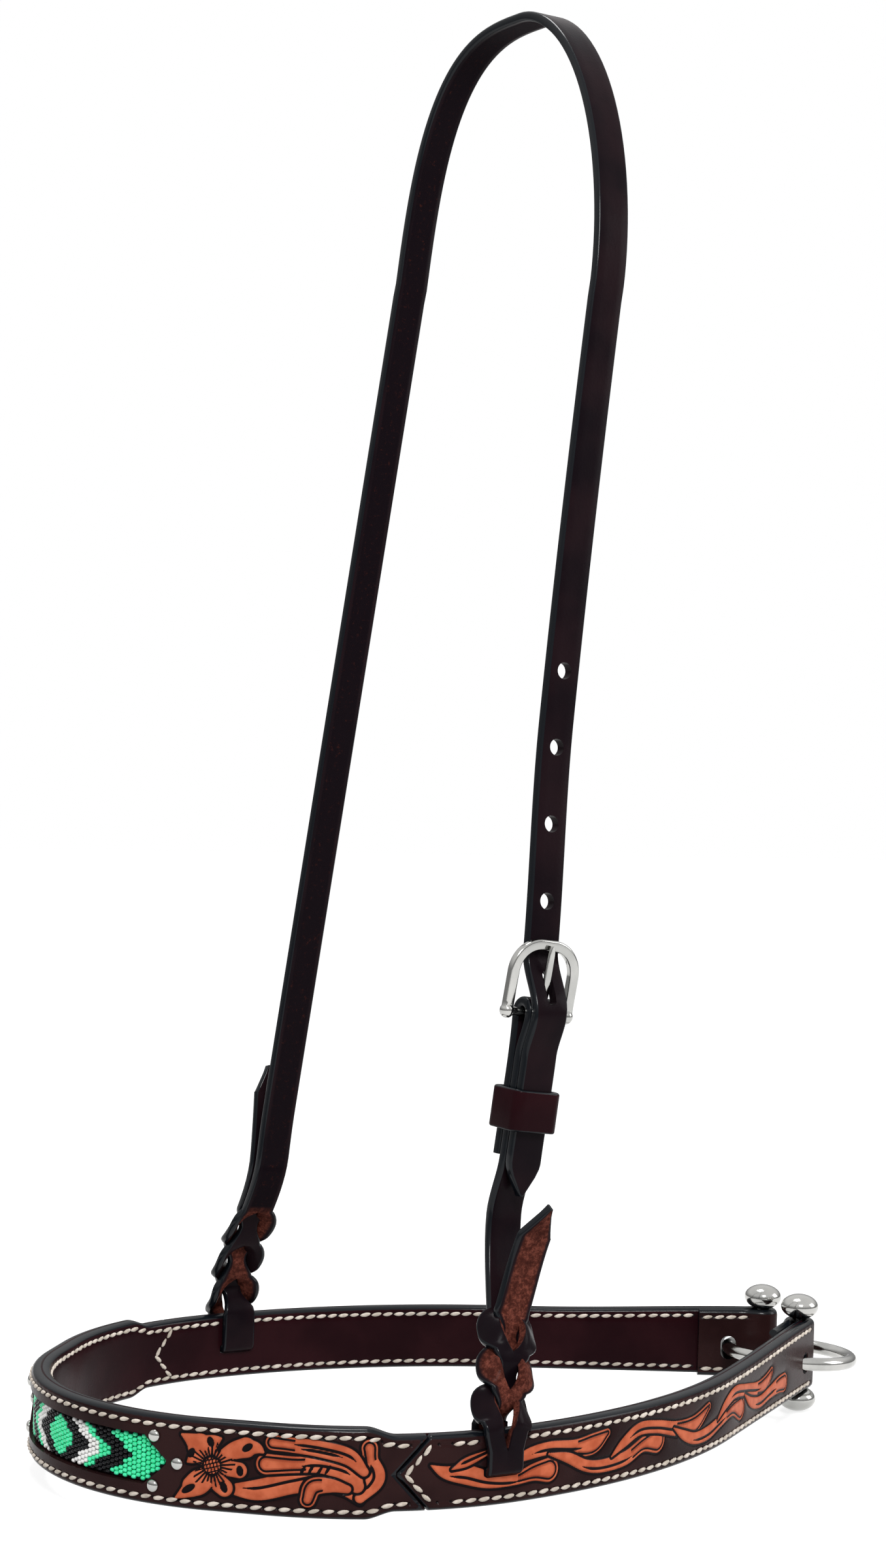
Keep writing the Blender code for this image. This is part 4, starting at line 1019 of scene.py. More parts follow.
def side_place(side):
    """Places on the course of one side strap."""
    def place(courses, depths):
        run = course_run(courses)
        middle = outer_thickness / 2.0
        out = middle - depths
        angle = np.clip((courses - half_run) / fold_radius, 0.0, math.pi)
        back = np.clip(courses - half_run - fold_run, 0.0, None)
        rest = band_thickness + seat_gap + middle
        bend = pin_depth + fold_radius
        depth = np.where(back > 0.0, bend + (rest - bend) * ease(back / turn_back_blend), middle)
        x, y, ox, oy = plan(side * run, depth)
        cx, cy, cox, coy = plan(side * half_run + 0.0 * run, pin_depth)
        ax, ay = -coy * side, cox * side
        fx = cox * np.cos(angle) + ax * np.sin(angle)
        fy = coy * np.cos(angle) + ay * np.sin(angle)
        turning = (courses > half_run) & (back <= 0.0)
        sign = np.where(back > 0.0, -1.0, 1.0)
        px = np.where(turning, cx + fx * (fold_radius + out), x + sign * ox * out)
        py = np.where(turning, cy + fy * (fold_radius + out), y + sign * oy * out)
        return px, py
    return place


def side_relief(side):
    def relief(runs, heights, depths, masks, front, half):
        straight = runs < half_run - fold_clearance
        put_carving(carve_side(runs[:, :front], heights[:, :front], side), depths, masks, front)
        sewn = straight | (runs > half_run + fold_run + fold_clearance)
        edge_stitches(runs, heights, depths, masks, front, half, sewn[:, :front])
        off = splice_gap(runs, heights, splice_run[side])
        masks["edge"][:, :front] = np.maximum(masks["edge"], splice_black(off) * straight)[:, :front]
        depths[:, :front] += (splice_bevel(off) * straight)[:, :front]
    return relief


def side_strap(side, label):
    tip = splice_run[side]
    courses = np.concatenate([spaced(tip, tip + carved_length, 0.37 * MM),
                              spaced(tip + carved_length, half_run, 1.0 * MM)[1:],
                              spaced(half_run, half_run + fold_run, 0.5 * MM)[1:],
                              spaced(half_run + fold_run, course_end, 0.9 * MM)[1:]])
    run = course_run(courses)
    share = (run - tip) / splice_point_length
    half = splice_tip_height / 2.0 + (side_height - splice_tip_height) / 2.0 * share
    half = np.minimum(half, side_half(run))
    alone = ease((courses - half_run + 8.0 * MM) / (8.0 * MM))
    return band_piece("side_leather_" + label, courses, half, middle_at(run), 64, 0.0, seam_depth,
                      band_leather, side_place(side), full=alone, relief=side_relief(side))


side_straps = {1: side_strap(1, "near"), -1: side_strap(-1, "far")}
print("fold takes", round(fold_run / MM, 1), "mm of strap")

# %% [markdown]
# The knot's strap passes through a slot in each side, and the ring through a hole near each end.
# One punch goes through the outer leather, its turned back end and the lining, so the holes line up.

# %% Slots and ring holes
ring_mid_radius = 23.5 * MM
ring_wire_radius = 2.5 * MM
ring_forward = 5.0 * MM
ring_hole_radius = ring_wire_radius + 0.5 * MM
ring_swing_slope = math.tan(math.radians(17.0))
ring_drop = 1.8 * MM
ring_tilt = math.radians(4.0)
slot_height = 11.2 * MM
slot_opening = (13.4 * MM, 3.5 * MM)
slot_corners = (0.25, 0.5)
knife_sides = 24
ring_knife_steps = 12
ring_knife_sides = 32


def ring_centre():
    """Centre of the ring while it lies level."""
    return Vector((float(plan(half_run, pin_depth)[0]) + ring_forward, 0.0, rear_middle - ring_drop))


def ring_crossing():
    """Angle round the ring at which it crosses the near end of the band."""
    back = np.linspace(0.0, ring_mid_radius, 4000)
    x, y, _, _ = plan(half_run - back, band_thickness / 2.0)
    spot = np.argmax(np.hypot(x - ring_centre().x, y) >= ring_mid_radius)
    return math.atan2(-y[spot], x[spot] - ring_centre().x)


def knot_frame(side):
    """Foot of a knot on the band's floor line, and the along and outward directions there."""
    x, y, ox, oy = (float(value) for value in plan(knot_run[side], band_thickness / 2.0))
    outward = Vector((ox, oy, 0.0))
    return Vector((x, y, band_floor)), Vector((-oy, ox, 0.0)) * side, outward


def slot_knife(side):
    """A flat bar with round corners, through the band where the knot's strap passes."""
    foot, along, outward = knot_frame(side)
    points = []
    for reach in (-2.0 * band_thickness, 2.0 * band_thickness):
        for number in range(knife_sides):
            angle = math.tau * number / knife_sides
            wide, high = (math.copysign(abs(share) ** power, share) * size / 2.0 for share, power, size
                          in zip((math.cos(angle), math.sin(angle)), slot_corners, slot_opening))
            points.append(foot + Vector((0.0, 0.0, slot_height + high)) + along * wide + outward * reach)
    return make_mesh("slot_knife", points, grid_faces(2, knife_sides), nickel)


def ring_knife(side):
    """A punch that follows the ring through one end of the band, tallest where the ring swings most."""
    sweep = (band_thickness + outer_thickness + over) / ring_mid_radius
    centre, crossing = ring_centre(), ring_crossing()
    points = []
    for share in np.linspace(-1.0, 1.0, ring_knife_steps + 1):
        angle = crossing * side + sweep * share
        swing = ring_mid_radius * abs(math.cos(angle) - math.cos(crossing)) * ring_swing_slope
        for number in range(ring_knife_sides):
            bend = math.tau * number / ring_knife_sides
            reach = ring_mid_radius + math.cos(bend) * ring_hole_radius
            rise = math.sin(bend) * ring_hole_radius
            rise += math.copysign(swing, rise)
            points.append(centre + Vector((reach * math.cos(angle), -reach * math.sin(angle), rise)))
    return make_mesh("ring_knife", points, grid_faces(ring_knife_steps + 1, ring_knife_sides), nickel)


for side, label in ((1, "near"), (-1, "far")):
    for piece in (side_straps[side], lining):
        cut(piece, slot_knife(side))
        cut(piece, ring_knife(side))
    dress(side_straps[side], "band", "band leather", "side_strap_" + label)
dress(lining, "band", "lining leather", "lining")

# %% [markdown]
# ## Stitches
# Each stitch is a small two-ply grain of thread that dives into its awl holes. One template is
# built and then laid along every row, leaning a little, as saddle stitches always do.

# %% One stitch laid along a row
def stitch_template(length, width, height, rings=9, around=10):
    """Points of a twisted grain along X, with Z out of the leather."""
    points = []
    for step in range(rings):
        share = -1.0 + 2.0 * step / (rings - 1)
        swell = math.sqrt(max(1.0 - abs(share) ** 2.6, 0.0)) * 0.92 + 0.08
        for number in range(around):
            angle = math.tau * number / around
            ply = 1.0 + 0.13 * math.cos(2.0 * angle - 3.4 * share)
            points.append((share * length / 2.0, math.cos(angle) * width / 2.0 * swell * ply,
                           math.sin(angle) * height / 2.0 * swell * ply - 0.34 * height * abs(share) ** 4))
    return np.array(points), grid_faces(rings, around)


stitch_points, stitch_faces = stitch_template(3.9 * MM, 1.25 * MM, 1.05 * MM)
stitch_lean = math.radians(9.0)
stitch_lean_spread = 0.035
stitch_size_spread = 0.04
stitch_depth = -0.12 * MM
knot_room = 8.2 * MM


def lay_stitches(name, places):
    """One mesh of all the stitches at (point, along, outward) places, each a little different."""
    random = np.random.default_rng(len(places))
    points, faces = [], []
    for number, (point, along, outward) in enumerate(places):
        along = Vector(along).normalized()
        outward = Vector(outward).normalized()
        turn = Matrix.Rotation(stitch_lean + random.normal(0.0, stitch_lean_spread), 3, outward)
        axes = np.array([turn @ along, turn @ outward.cross(along), outward])
        size = 1.0 + random.normal(0.0, stitch_size_spread)
        points.append((stitch_points * size) @ axes + np.array(point))
        faces += [[index + number * len(stitch_points) for index in face] for face in stitch_faces]
    piece = make_mesh(name, np.concatenate(points), faces, thread)
    return dress(piece, "band", "band leather")


def between_holes(first, last):
    """Runs of the stitch middles between two ends of a row."""
    start = math.ceil(first / stitch_pitch) + 0.5
    return np.arange(start, last / stitch_pitch, 1.0) * stitch_pitch


def stitch_place(run, rise, place):
    """Point, direction along the row and outward direction of one stitch; `place` lays runs."""
    z = float(middle_at(course_run(np.array(abs(run))))) + rise
    before, after = (place(np.array(run + step), np.array(stitch_depth)) for step in (-1.0 * MM, 1.0 * MM))
    below = place(np.array(run), np.array(1.0 * MM))
    point = place(np.array(run), np.array(stitch_depth))
    along = (float(after[0] - before[0]), float(after[1] - before[1]), 0.0)
    out = (float(point[0] - below[0]), float(point[1] - below[1]), 0.0)
    return (float(point[0]), float(point[1]), z), along, out


def row_places(runs, rise_of, place, sign=1.0):
    """Places of a row of stitches: the top row, or with a sign of -1 the bottom row."""
    return [stitch_place(run, sign * rise_of(run), place) for run in runs]


def clear_of_knot(runs, knots, room=knot_room):
    return [run for run in runs if min(abs(run - knot) for knot in knots) > room]


def band_row_rise(run):
    """Height of the band's top row of stitches over its middle line."""
    return float(band_half(np.array(run))) - stitch_inset


def strap_row_rise(course):
    return float(side_half(course_run(np.array(course)))) - stitch_inset


print("stitch has", len(stitch_points), "points")

# %% Outside and inside rows
row_end_room = 4.0 * MM
nose_runs = between_holes(-splice_run[-1] - row_end_room, splice_run[1] + row_end_room)
lay_stitches("stitches_nose", row_places(nose_runs, band_row_rise, outside_place)
             + row_places(nose_runs, band_row_rise, outside_place, -1.0))
inside_end = half_run - turn_back_length - 3.0 * MM
inside_runs = between_holes(-lining_end + 3.0 * MM, lining_end - 3.0 * MM)
inside_runs = [run for run in inside_runs if abs(run) < inside_end]
lay_stitches("stitches_inside",
             row_places(clear_of_knot(inside_runs, knot_run.values()), band_row_rise, inside_place)
             + row_places(inside_runs, band_row_rise, inside_place, -1.0))
for side, label in ((1, "near"), (-1, "far")):
    first = splice_run[side] + splice_point_length + 3.0 * MM
    front = list(between_holes(first, half_run - fold_clearance))
    back = list(between_holes(half_run + fold_run + fold_clearance, course_end - 1.0 * MM))
    top = clear_of_knot(front, [abs(knot_run[side])]) + back
    lay_stitches("stitches_side_" + label, row_places(top, strap_row_rise, side_place(side))
                 + row_places(front + back, strap_row_rise, side_place(side), -1.0))

# %% Stitches along the splices
splice_stitches = 3
splice_row_gap = 2.6 * MM
for side, label in ((1, "near"), (-1, "far")):
    places = []
    for sign in (1.0, -1.0):
        for number in range(splice_stitches):
            share = (number + 0.35) / splice_stitches
            rise = sign * ((side_height / 2.0 - stitch_inset) * share + 0.3 * MM)
            run = splice_run[side] + abs(rise) * splice_slope + splice_row_gap
            for spot, way in ((stitch_place(run, rise, side_place(side)), 1.0),
                              (stitch_place(side * run, rise, inside_place), side)):
                along = Vector(spot[1]).normalized() * splice_slope * way + Vector((0.0, 0.0, sign))
                places.append((spot[0], along, spot[2]))
    lay_stitches("stitches_point_" + label, places)

# %% [markdown]
# ## Bead window
# The panel is woven in peyote stitch: barrel beads lie in columns, each column half a bead off its
# neighbour. A rule on the run and the height picks the colour, which gives the diamond, the
# chevrons and the plain pointed field.

# %% Beads
bead_pitch = (1.78 * MM, 1.46 * MM)
bead_size = (1.65 * MM, 1.39 * MM)
bead_sink = 0.75 * MM
bead_depth_spread = 0.05
bead_turn_spread = 0.03
bead_size_spread = 0.025
bead_rise_spread = 0.04
diamond_half = (9.4, 7.4)
chevron_slope = 1.55
chevron_limits = ((17.6, "black"), (24.0, "white"), (28.0, "green"), (37.0, "black"))


def bead_colour(run, rise):
    """Name of the bead colour at a place in the window, in the pattern's order from the middle."""
    run, rise = abs(run) / MM, abs(rise) / MM
    if run / diamond_half[0] + rise / diamond_half[1] < 1.0:
        return "green"
    lean = run + chevron_slope * rise
    for limit, colour in chevron_limits:
        if lean < limit:
            return colour
    return "green"


def bead_template(rings=8, around=14):
    """Points of a round-shouldered barrel along X."""
    points = []
    for step in range(rings):
        share = -1.0 + 2.0 * step / (rings - 1)
        swell = (1.0 - abs(share) ** 3.2) ** 0.42 if abs(share) < 1.0 else 0.0
        for number in range(around):
            angle = math.tau * number / around
            radius = bead_size[1] / 2.0 * max(swell, 0.34)
            points.append((share * bead_size[0] / 2.0, math.cos(angle) * radius, math.sin(angle) * radius))
    return np.array(points), grid_faces(rings, around)


bead_points, bead_faces = bead_template()
bead_depth = outer_thickness - bead_sink - bead_size[1] / 2.0
random = np.random.default_rng(7)
beads = {"green": [], "white": [], "black": []}
columns = int(window_half_length / bead_pitch[0])
for column in range(-columns, columns + 1):
    run = column * bead_pitch[0]
    taper = min((window_half_length - abs(run)) / window_point_length, 1.0)
    half = (window_tip_height + (window_height - window_tip_height) * taper) / 2.0 - bead_size[1] * 0.42
    shift = 0.5 * (column % 2)
    count = int(window_height / bead_pitch[1])
    for number in range(-count, count + 1):
        rise = (number + shift) * bead_pitch[1]
        if abs(rise) > half:
            continue
        depth = bead_depth + random.normal(0.0, bead_depth_spread) * MM
        x, y, ox, oy = (float(value) for value in plan(run, depth))
        axes = np.array([(-oy, ox, random.normal(0.0, bead_turn_spread)), (0.0, 0.0, 1.0), (ox, oy, 0.0)])
        size = 1.0 + random.normal(0.0, bead_size_spread)
        spot = np.array((x, y, band_middle + rise + random.normal(0.0, bead_rise_spread) * MM))
        beads[bead_colour(run, rise)].append(bead_points * size @ axes + spot)
for colour, material in (("green", green_glass), ("white", white_glass), ("black", black_glass)):
    faces = [[index + number * len(bead_points) for index in face]
             for number in range(len(beads[colour])) for face in bead_faces]
    piece = make_mesh("beads_" + colour, np.concatenate(beads[colour]), faces, material)
    dress(piece, "band", "beads", "bead_panel")

# %% [markdown]
# Under the beads lies a strip of black felt, and a round nail marks each flank and point of the
# window. A nail's dome is a turned profile: a flat head would catch the light as a disc.

# %% Felt
felt_thickness = 0.62 * MM
felt_end = window_half_length - 0.9 * MM
runs = spaced(-felt_end, felt_end, 0.8 * MM)
taper = np.minimum((window_half_length - np.abs(runs) - seat_gap) / window_point_length, 1.0)
half = (window_tip_height + (window_height - window_tip_height) * taper) / 2.0 - seat_gap
heights = np.stack([-half, -half * 0.5, 0.0 * half, half * 0.5, half, half, 0.0 * half, -half], 1)
depths = np.array([outer_thickness - felt_thickness] * 5 + [outer_thickness] * 3)
depths = np.broadcast_to(depths, heights.shape)
x, y, _, _ = plan(np.broadcast_to(runs[:, None], heights.shape), depths)
points = np.stack([x, y, band_middle + heights], -1)
dress(make_mesh("felt_backing", points, grid_faces(len(runs), 8), felt), "band", "backing", "bead_backing")

# %% Nails
def turned(name, profile, around, material, matrix):
    """A turned solid: (radius, height) pairs swept about the matrix's Z axis."""
    angles = np.linspace(0.0, math.tau, around, endpoint=False)
    points = [matrix @ Vector((radius * math.cos(angle), radius * math.sin(angle), height))
              for radius, height in profile for angle in angles]
    return make_mesh(name, points, grid_faces(len(profile), around), material)


dome_radius, dome_height, brim = 2.0, 1.25, 0.3
nail_profile = [(0.6, -2.2), (0.6, 0.1), (1.7, 0.06), (1.95, 0.12), (dome_radius, brim)]
nail_profile += [(dome_radius * math.cos(a), brim + dome_height * math.sin(a))
                 for a in np.linspace(0.12, 1.52, 12)]
nail_places = (("upper", 7.8, -4.2), ("point", 0.0, 4.0), ("lower", -7.8, -4.2))
profile = [(radius * MM, height * MM) for radius, height in nail_profile]
for side, label in ((1, "near"), (-1, "far")):
    for spot, rise, setback in nail_places:
        run = side * (window_half_length + setback * MM)
        x, y, ox, oy = (float(value) for value in plan(run, 0.0))
        turn = Matrix(((-oy, 0.0, ox), (ox, 0.0, oy), (0.0, 1.0, 0.0)))
        place = Matrix.Translation((x, y, band_middle + rise * MM)) @ turn.to_4x4()
        nail = turned("nail_" + label + "_" + spot, profile, 36, nickel, place)
        dress(nail, "band", "nickel", "stud_" + label + "_" + spot)

# %% [markdown]
# ## Pins and ring
# Each pin is turned with a flattened ball at both ends, and the two ends of the band are held by one
# welded ring. Both are plain turned shapes, so their polish does the work.

# %% Ball pins
ball_radius = 7.1 * MM
ball_half_height = 4.7 * MM
ball_seat_radius = 3.2 * MM


def ball_profile(towards):
    seat = math.asin(ball_seat_radius / ball_radius)
    base = rear_height / 2.0 + seat_gap
    return [(math.sin(a) * ball_radius, towards * (base + (math.cos(seat) - math.cos(a)) * ball_half_height))
            for a in np.linspace(seat, math.pi * 0.985, 26)]


profile = ball_profile(-1.0)[::-1] + [(pin_radius, -rear_height / 2.0), (pin_radius, rear_height / 2.0)]
profile += ball_profile(1.0)
for side, label in ((1, "near"), (-1, "far")):
    x, y, _, _ = (float(value) for value in plan(side * half_run, pin_depth))
    pin = turned("pin_" + label, profile, 56, nickel, Matrix.Translation((x, y, rear_middle)))
    dress(pin, "pin_" + label, "nickel", "ball_pin_" + label)

# %% Tie ring
ring_sides, wire_sides = 128, 28
hinge = ring_centre() + Vector((math.cos(ring_crossing()) * ring_mid_radius, 0.0, 0.0))
tilt = Matrix.Translation(hinge) @ Matrix.Rotation(ring_tilt, 4, "Y")
from_hinge = ring_centre() - hinge
points = []
for step in range(ring_sides):
    angle = math.tau * step / ring_sides
    for number in range(wire_sides):
        bend = math.tau * number / wire_sides
        reach = ring_mid_radius + ring_wire_radius * math.cos(bend)
        spot = Vector((reach * math.cos(angle), reach * math.sin(angle), ring_wire_radius * math.sin(bend)))
        points.append(tilt @ (from_hinge + spot))
ring = make_mesh("ring_nickel", points, grid_faces(ring_sides, wire_sides, close_rows=True), nickel)
dress(ring, "ring", "nickel", "tie_ring")

# %% [markdown]
# ## Hanger straps
# The hanger is one half inch strap in two parts. A strap is swept through stations, each with a
# place, a width, a thickness and a direction across; where a station has an opening the strap is
# slit in two and its halves twist, which is how the braid knot is drawn.

# %% Legs and poll
legs = {1: dict(span=64.0, rise=105.0, power=1.8, flare=25.0, flare_power=2.4, lean=0.113),
        -1: dict(span=57.0, rise=91.0, power=3.0, flare=20.0, flare_power=1.0, lean=0.119)}
knot_skin = 2.8 * MM
knot_reach = (band_thickness + knot_skin) / 2.0 + seat_gap
knot_start = 24.5 * MM
knot_pitch = {1: 10.8 * MM, -1: 13.6 * MM}
knot_wave = 1.9 * MM
lobe_swell = 0.35
lobe_press = 1.0 * MM
knot_top = 86.0 * MM
settle_length = 38.0 * MM
lap_swing = 6.5 * MM
pinch_half = 3.5 * MM
slit_twist = math.radians(48.0)
bar_height = 151.4 * MM
bar_radius = 1.5 * MM
bar_offset = bar_radius + seat_gap + strap_thickness / 2.0
frame_length = 20.8 * MM
frame_lean = math.radians(9.0)
frame_relax = 75.0 * MM
frame_width = 27.5 * MM
frame_corner = 9.5 * MM
rim_width = 3.6 * MM
rim_thickness = 2.8 * MM
keeper_height = 13.6 * MM
keeper_drop = 30.8 * MM
turn_back_height = bar_height - 46.0 * MM
tip_drop = 58.5 * MM
tip_length = 11.0 * MM
hole_radius = 2.8 * MM
hole_spacing = 25.4 * MM
hole_rise = 11.2 * MM
hole_count = 4
punch_reach = 7.0 * MM
fold_punch_reach = 14.0 * MM
fold_steps = 24
tongue_hole = dict(height=bar_height + 8.3 * MM, radius=1.75 * MM, longer=7.6 * MM)
fold_hole = dict(radius=1.8 * MM, longer=7.4 * MM)


def eased(share):
    return float(ease(share))


def leg_centre(side, height):
    """Centre line of a leg at a height above the band's lower edge."""
    foot, _, _ = knot_frame(side)
    leg = legs[side]
    shoulder = hanger_height - leg["rise"] * MM
    drop = max(shoulder - height, 0.0) / shoulder
    span = (leg["span"] + leg["flare"] * drop ** leg["flare_power"]) * MM
    if side > 0:
        span -= lap_swing * eased((bar_height - height) / (bar_height - knot_top))
    fore = -leg["lean"] * (hanger_height - height)
    share = (height - knot_start) / (knot_top - knot_start)
    x = foot.x + (fore - foot.x) * math.sin(math.pi / 2.0 * min(max(share, 0.0), 1.0))
    y = foot.y + (-side * span - foot.y) * eased(share)
    return Vector((x, y, band_floor + height))


def poll_centre(share):
    """Centre line over the poll, from the near shoulder (-1) to the far one (+1)."""
    turn = math.pi / 2.0 * (1.0 - abs(share))
    side = 1.0 if share > 0.0 else -1.0
    leg = legs[-int(side)]
    power = 2.0 / leg["power"]
    rise = leg["rise"] * MM - strap_thickness / 2.0
    height = hanger_height - leg["rise"] * MM + rise * math.sin(turn) ** power
    y = side * leg["span"] * MM * max(math.cos(turn), 0.0) ** power
    return Vector((-leg["lean"] * (hanger_height - strap_thickness / 2.0 - height), y, band_floor + height))


def leg_axes(height):
    """Across, upward and outward directions of the near leg."""
    upward = (leg_centre(1, height + hole_spacing) - leg_centre(1, height)).normalized()
    across = (Vector((1.0, 0.0, 0.0)) - upward * upward.x).normalized()
    return across, upward, across.cross(upward)


print("top of the poll:", [round(value / MM, 1) for value in poll_centre(0.0)])

# %% [markdown]
# A strap's section has rolled edges. The sweep also writes the masks: the grain side outside, the
# rough flesh side inside, black wax on the edges, and bare flesh on the walls of the slit.

# %% Sweep a strap
edge_roll = 1.0 * MM
slit_round = 0.35 * MM
quarter_steps = 4


def half_section(half, thickness):
    """(reach, level, edge mask, flesh mask) round half a strap, from its middle and back."""
    skin = thickness / 2.0
    roll = min(edge_roll, half * 0.6, skin * 0.8)
    points = [(0.0, skin - slit_round, 0.0, 0.5), (slit_round, skin, 0.0, 0.0), (half * 0.4, skin, 0.0, 0.0)]
    for number in range(quarter_steps + 1):
        angle = math.pi / 2.0 * number / quarter_steps
        points.append((half - roll + roll * math.sin(angle), skin - roll + roll * math.cos(angle),
                       min(number / 1.6, 1.0), 0.0))
    for number in range(quarter_steps + 1):
        angle = math.pi / 2.0 * number / quarter_steps
        points.append((half - roll + roll * math.cos(angle), roll - skin - roll * math.sin(angle),
                       min((quarter_steps - number) / 1.6, 1.0), 0.3 * number / quarter_steps))
    return points + [(half * 0.4, -skin, 0.0, 1.0), (slit_round, -skin, 0.0, 1.0),
                     (0.0, slit_round - skin, 0.0, 1.0)]


def row(place, half=half_width, thickness=strap_thickness, opening=0.0, twist=0.0, across=None):
    """One station of a strap; `opening` parts its halves and `twist` turns them."""
    return dict(place=place, half=half, thickness=thickness, opening=opening, twist=twist, bare=0.0,
                across=across or Vector((1.0, 0.0, 0.0)))


def sweep(name, rows, material, turn=1.0):
    """A strap through its rows; between two slit rows its halves part."""
    points, edges, fleshes, bares, index_rows = [], [], [], [], []
    for number, station in enumerate(rows):
        before = rows[max(number - 1, 0)]["place"]
        after = rows[min(number + 1, len(rows) - 1)]["place"]
        tangent = (after - before).normalized()
        across = station["across"] * turn
        across = (across - tangent * across.dot(tangent)).normalized()
        normal = across.cross(tangent)
        skin = station["thickness"] / 2.0
        slit = station["opening"] > 0.0
        sides = {}
        for side in (1, -1):
            ring = []
            section = half_section(station["half"], station["thickness"])
            for spot, (reach, level, edge, flesh) in enumerate(section):
                wall = reach == 0.0
                if not slit and side < 0 and wall:
                    ring.append(sides[1][spot])
                    continue
                if slit:
                    lift = station["twist"]
                    quarter = station["half"] / 2.0
                    out = station["opening"] + quarter * math.cos(lift) + skin * abs(math.sin(lift))
                    away = side * (out + (reach - quarter) * math.cos(lift) + level * math.sin(lift))
                    rise = -(reach - quarter) * math.sin(lift) + level * math.cos(lift)
                else:
                    away = side * reach
                    level = math.copysign(skin, level) if wall else level
                    rise = level
                    flesh = (1.0 if level < 0.0 else 0.0) if wall else flesh
                ring.append(len(points))
                points.append(station["place"] + across * away + normal * rise)
                edges.append(edge)
                fleshes.append(flesh)
                bares.append(station["bare"])
            sides[side] = ring
        index_rows.append((sides, slit))
    faces = []
    for first, second in zip(index_rows, index_rows[1:]):
        for side in (1, -1):
            a, b = first[0][side], second[0][side]
            for spot in range(len(a) - 1):
                faces.append((a[spot], a[spot + 1], b[spot + 1], b[spot]))
            if first[1] or second[1]:
                faces.append((a[-1], a[0], b[0], b[-1]))
    for sides, _ in (index_rows[0], index_rows[-1]):
        faces.append(tuple(sides[1] + sides[-1][-2:0:-1]))
    edges = np.array(edges)
    for end in (index_rows[0], index_rows[-1]):
        edges[end[0][1] + end[0][-1]] = 1.0
    masks = {"edge": edges, "flesh": fleshes, "bare": bares}
    return make_mesh(name, points, faces, material, masks)


print("half a section has", len(half_section(half_width, strap_thickness)), "points")

# %% [markdown]
# The slit braid is one strap with two slits near its end. The end goes through a slot in the band,
# then each part is passed through the other's slit in turn. From outside, grain and flesh sides
# follow one another, and the free tail ends up outside.

# %% Knot stations
foot_height = 18.0 * MM
foot_opening = 1.7 * MM
foot_steps = 6
slot_steps = 8


def knot_end(side):
    return knot_start + 3.0 * knot_pitch[side]


def knot_place(side, height, offset):
    return leg_centre(side, height) + knot_frame(side)[2] * offset


def knot_across(side):
    return knot_frame(side)[1] * -side


def knot_row(side, place, half=half_width, opening=0.0, twist=0.0):
    """A station of the knot's thinner leather, square to the band."""
    return row(place, half, knot_skin, opening, twist, knot_across(side))


def knot_rows(side, first, steps=14):
    """Stations up one part of a knot: the first part starts outside, the other inside."""
    rows = []
    sign = 1.0 if first else -1.0
    pitch = knot_pitch[side]
    if first:
        for step in range(foot_steps):
            height = foot_height + (knot_start - foot_height) * step / foot_steps
            rows.append(knot_row(side, knot_place(side, height, knot_reach),
                                 opening=foot_opening * step / foot_steps))
    for stage in range(3):
        slit = stage % 2 == (0 if first else 1)
        foot = foot_opening if first and stage == 0 else 0.0
        for step in range(steps if stage < 2 else steps + 1):
            share = step / steps
            fade = eased(stage + share)
            reach = knot_reach + (knot_wave - knot_reach) * fade
            offset = sign * math.cos(math.pi * (stage + share)) * reach
            place = knot_place(side, knot_start + pitch * (stage + share), offset)
            bulge = max(math.sin(math.pi * share), 0.0)
            shape = bulge ** (0.9 if slit else 1.6)
            if not slit:
                rows.append(knot_row(side, place, half_width + (pinch_half - half_width) * shape))
            elif (foot or step) and step < steps:
                opening = max((pinch_half - lobe_press) * shape, foot * (1.0 - share))
                rows.append(knot_row(side, place, half_width * (1.0 + lobe_swell * shape), opening,
                                     sign * slit_twist * shape))
            else:
                rows.append(knot_row(side, place))
    return rows


def slot_rows(side):
    """Stations of the bend through the band's slot."""
    bend = seat_gap + knot_skin / 2.0
    rows = []
    for end in (1.0, -1.0):
        for step in range(slot_steps + 1):
            angle = math.pi / 2.0 * (step if end > 0.0 else slot_steps - step) / slot_steps
            offset = end * (knot_reach - bend + bend * math.cos(angle))
            height = slot_height + bend - bend * math.sin(angle)
            rows.append(knot_row(side, knot_place(side, height, offset)))
    return rows


tails = {1: (35.0 * MM, 23.0 * MM, 1.0), -1: (53.0 * MM, 9.5 * MM, 1.5)}
tail_point_length = 10.0 * MM
tail_point = ((0.06, 0.97), (0.25, 0.79), (0.5, 0.55), (0.75, 0.31), (0.92, 0.15), (1.0, 0.07))
tail_slant = 0.22


def tail_rows(side):
    """Stations of the loose tail, cut to a slanted point."""
    length, spread, power = tails[side]
    straight = length - tail_point_length

    def place(rise):
        return knot_place(side, knot_end(side) + rise, knot_wave + spread * (rise / length) ** power)

    rows = [knot_row(side, place(straight * share)) for share in np.linspace(0.08, 1.0, 12)]
    for share, half_share in tail_point:
        slant = knot_across(side) * (-tail_slant * half_width * (1.0 - half_share))
        rows.append(knot_row(side, place(straight + tail_point_length * share) + slant,
                             half_width * half_share))
    return rows


def standing_offset(side, height):
    return -knot_wave * (1.0 - eased((height - knot_end(side)) / settle_length))


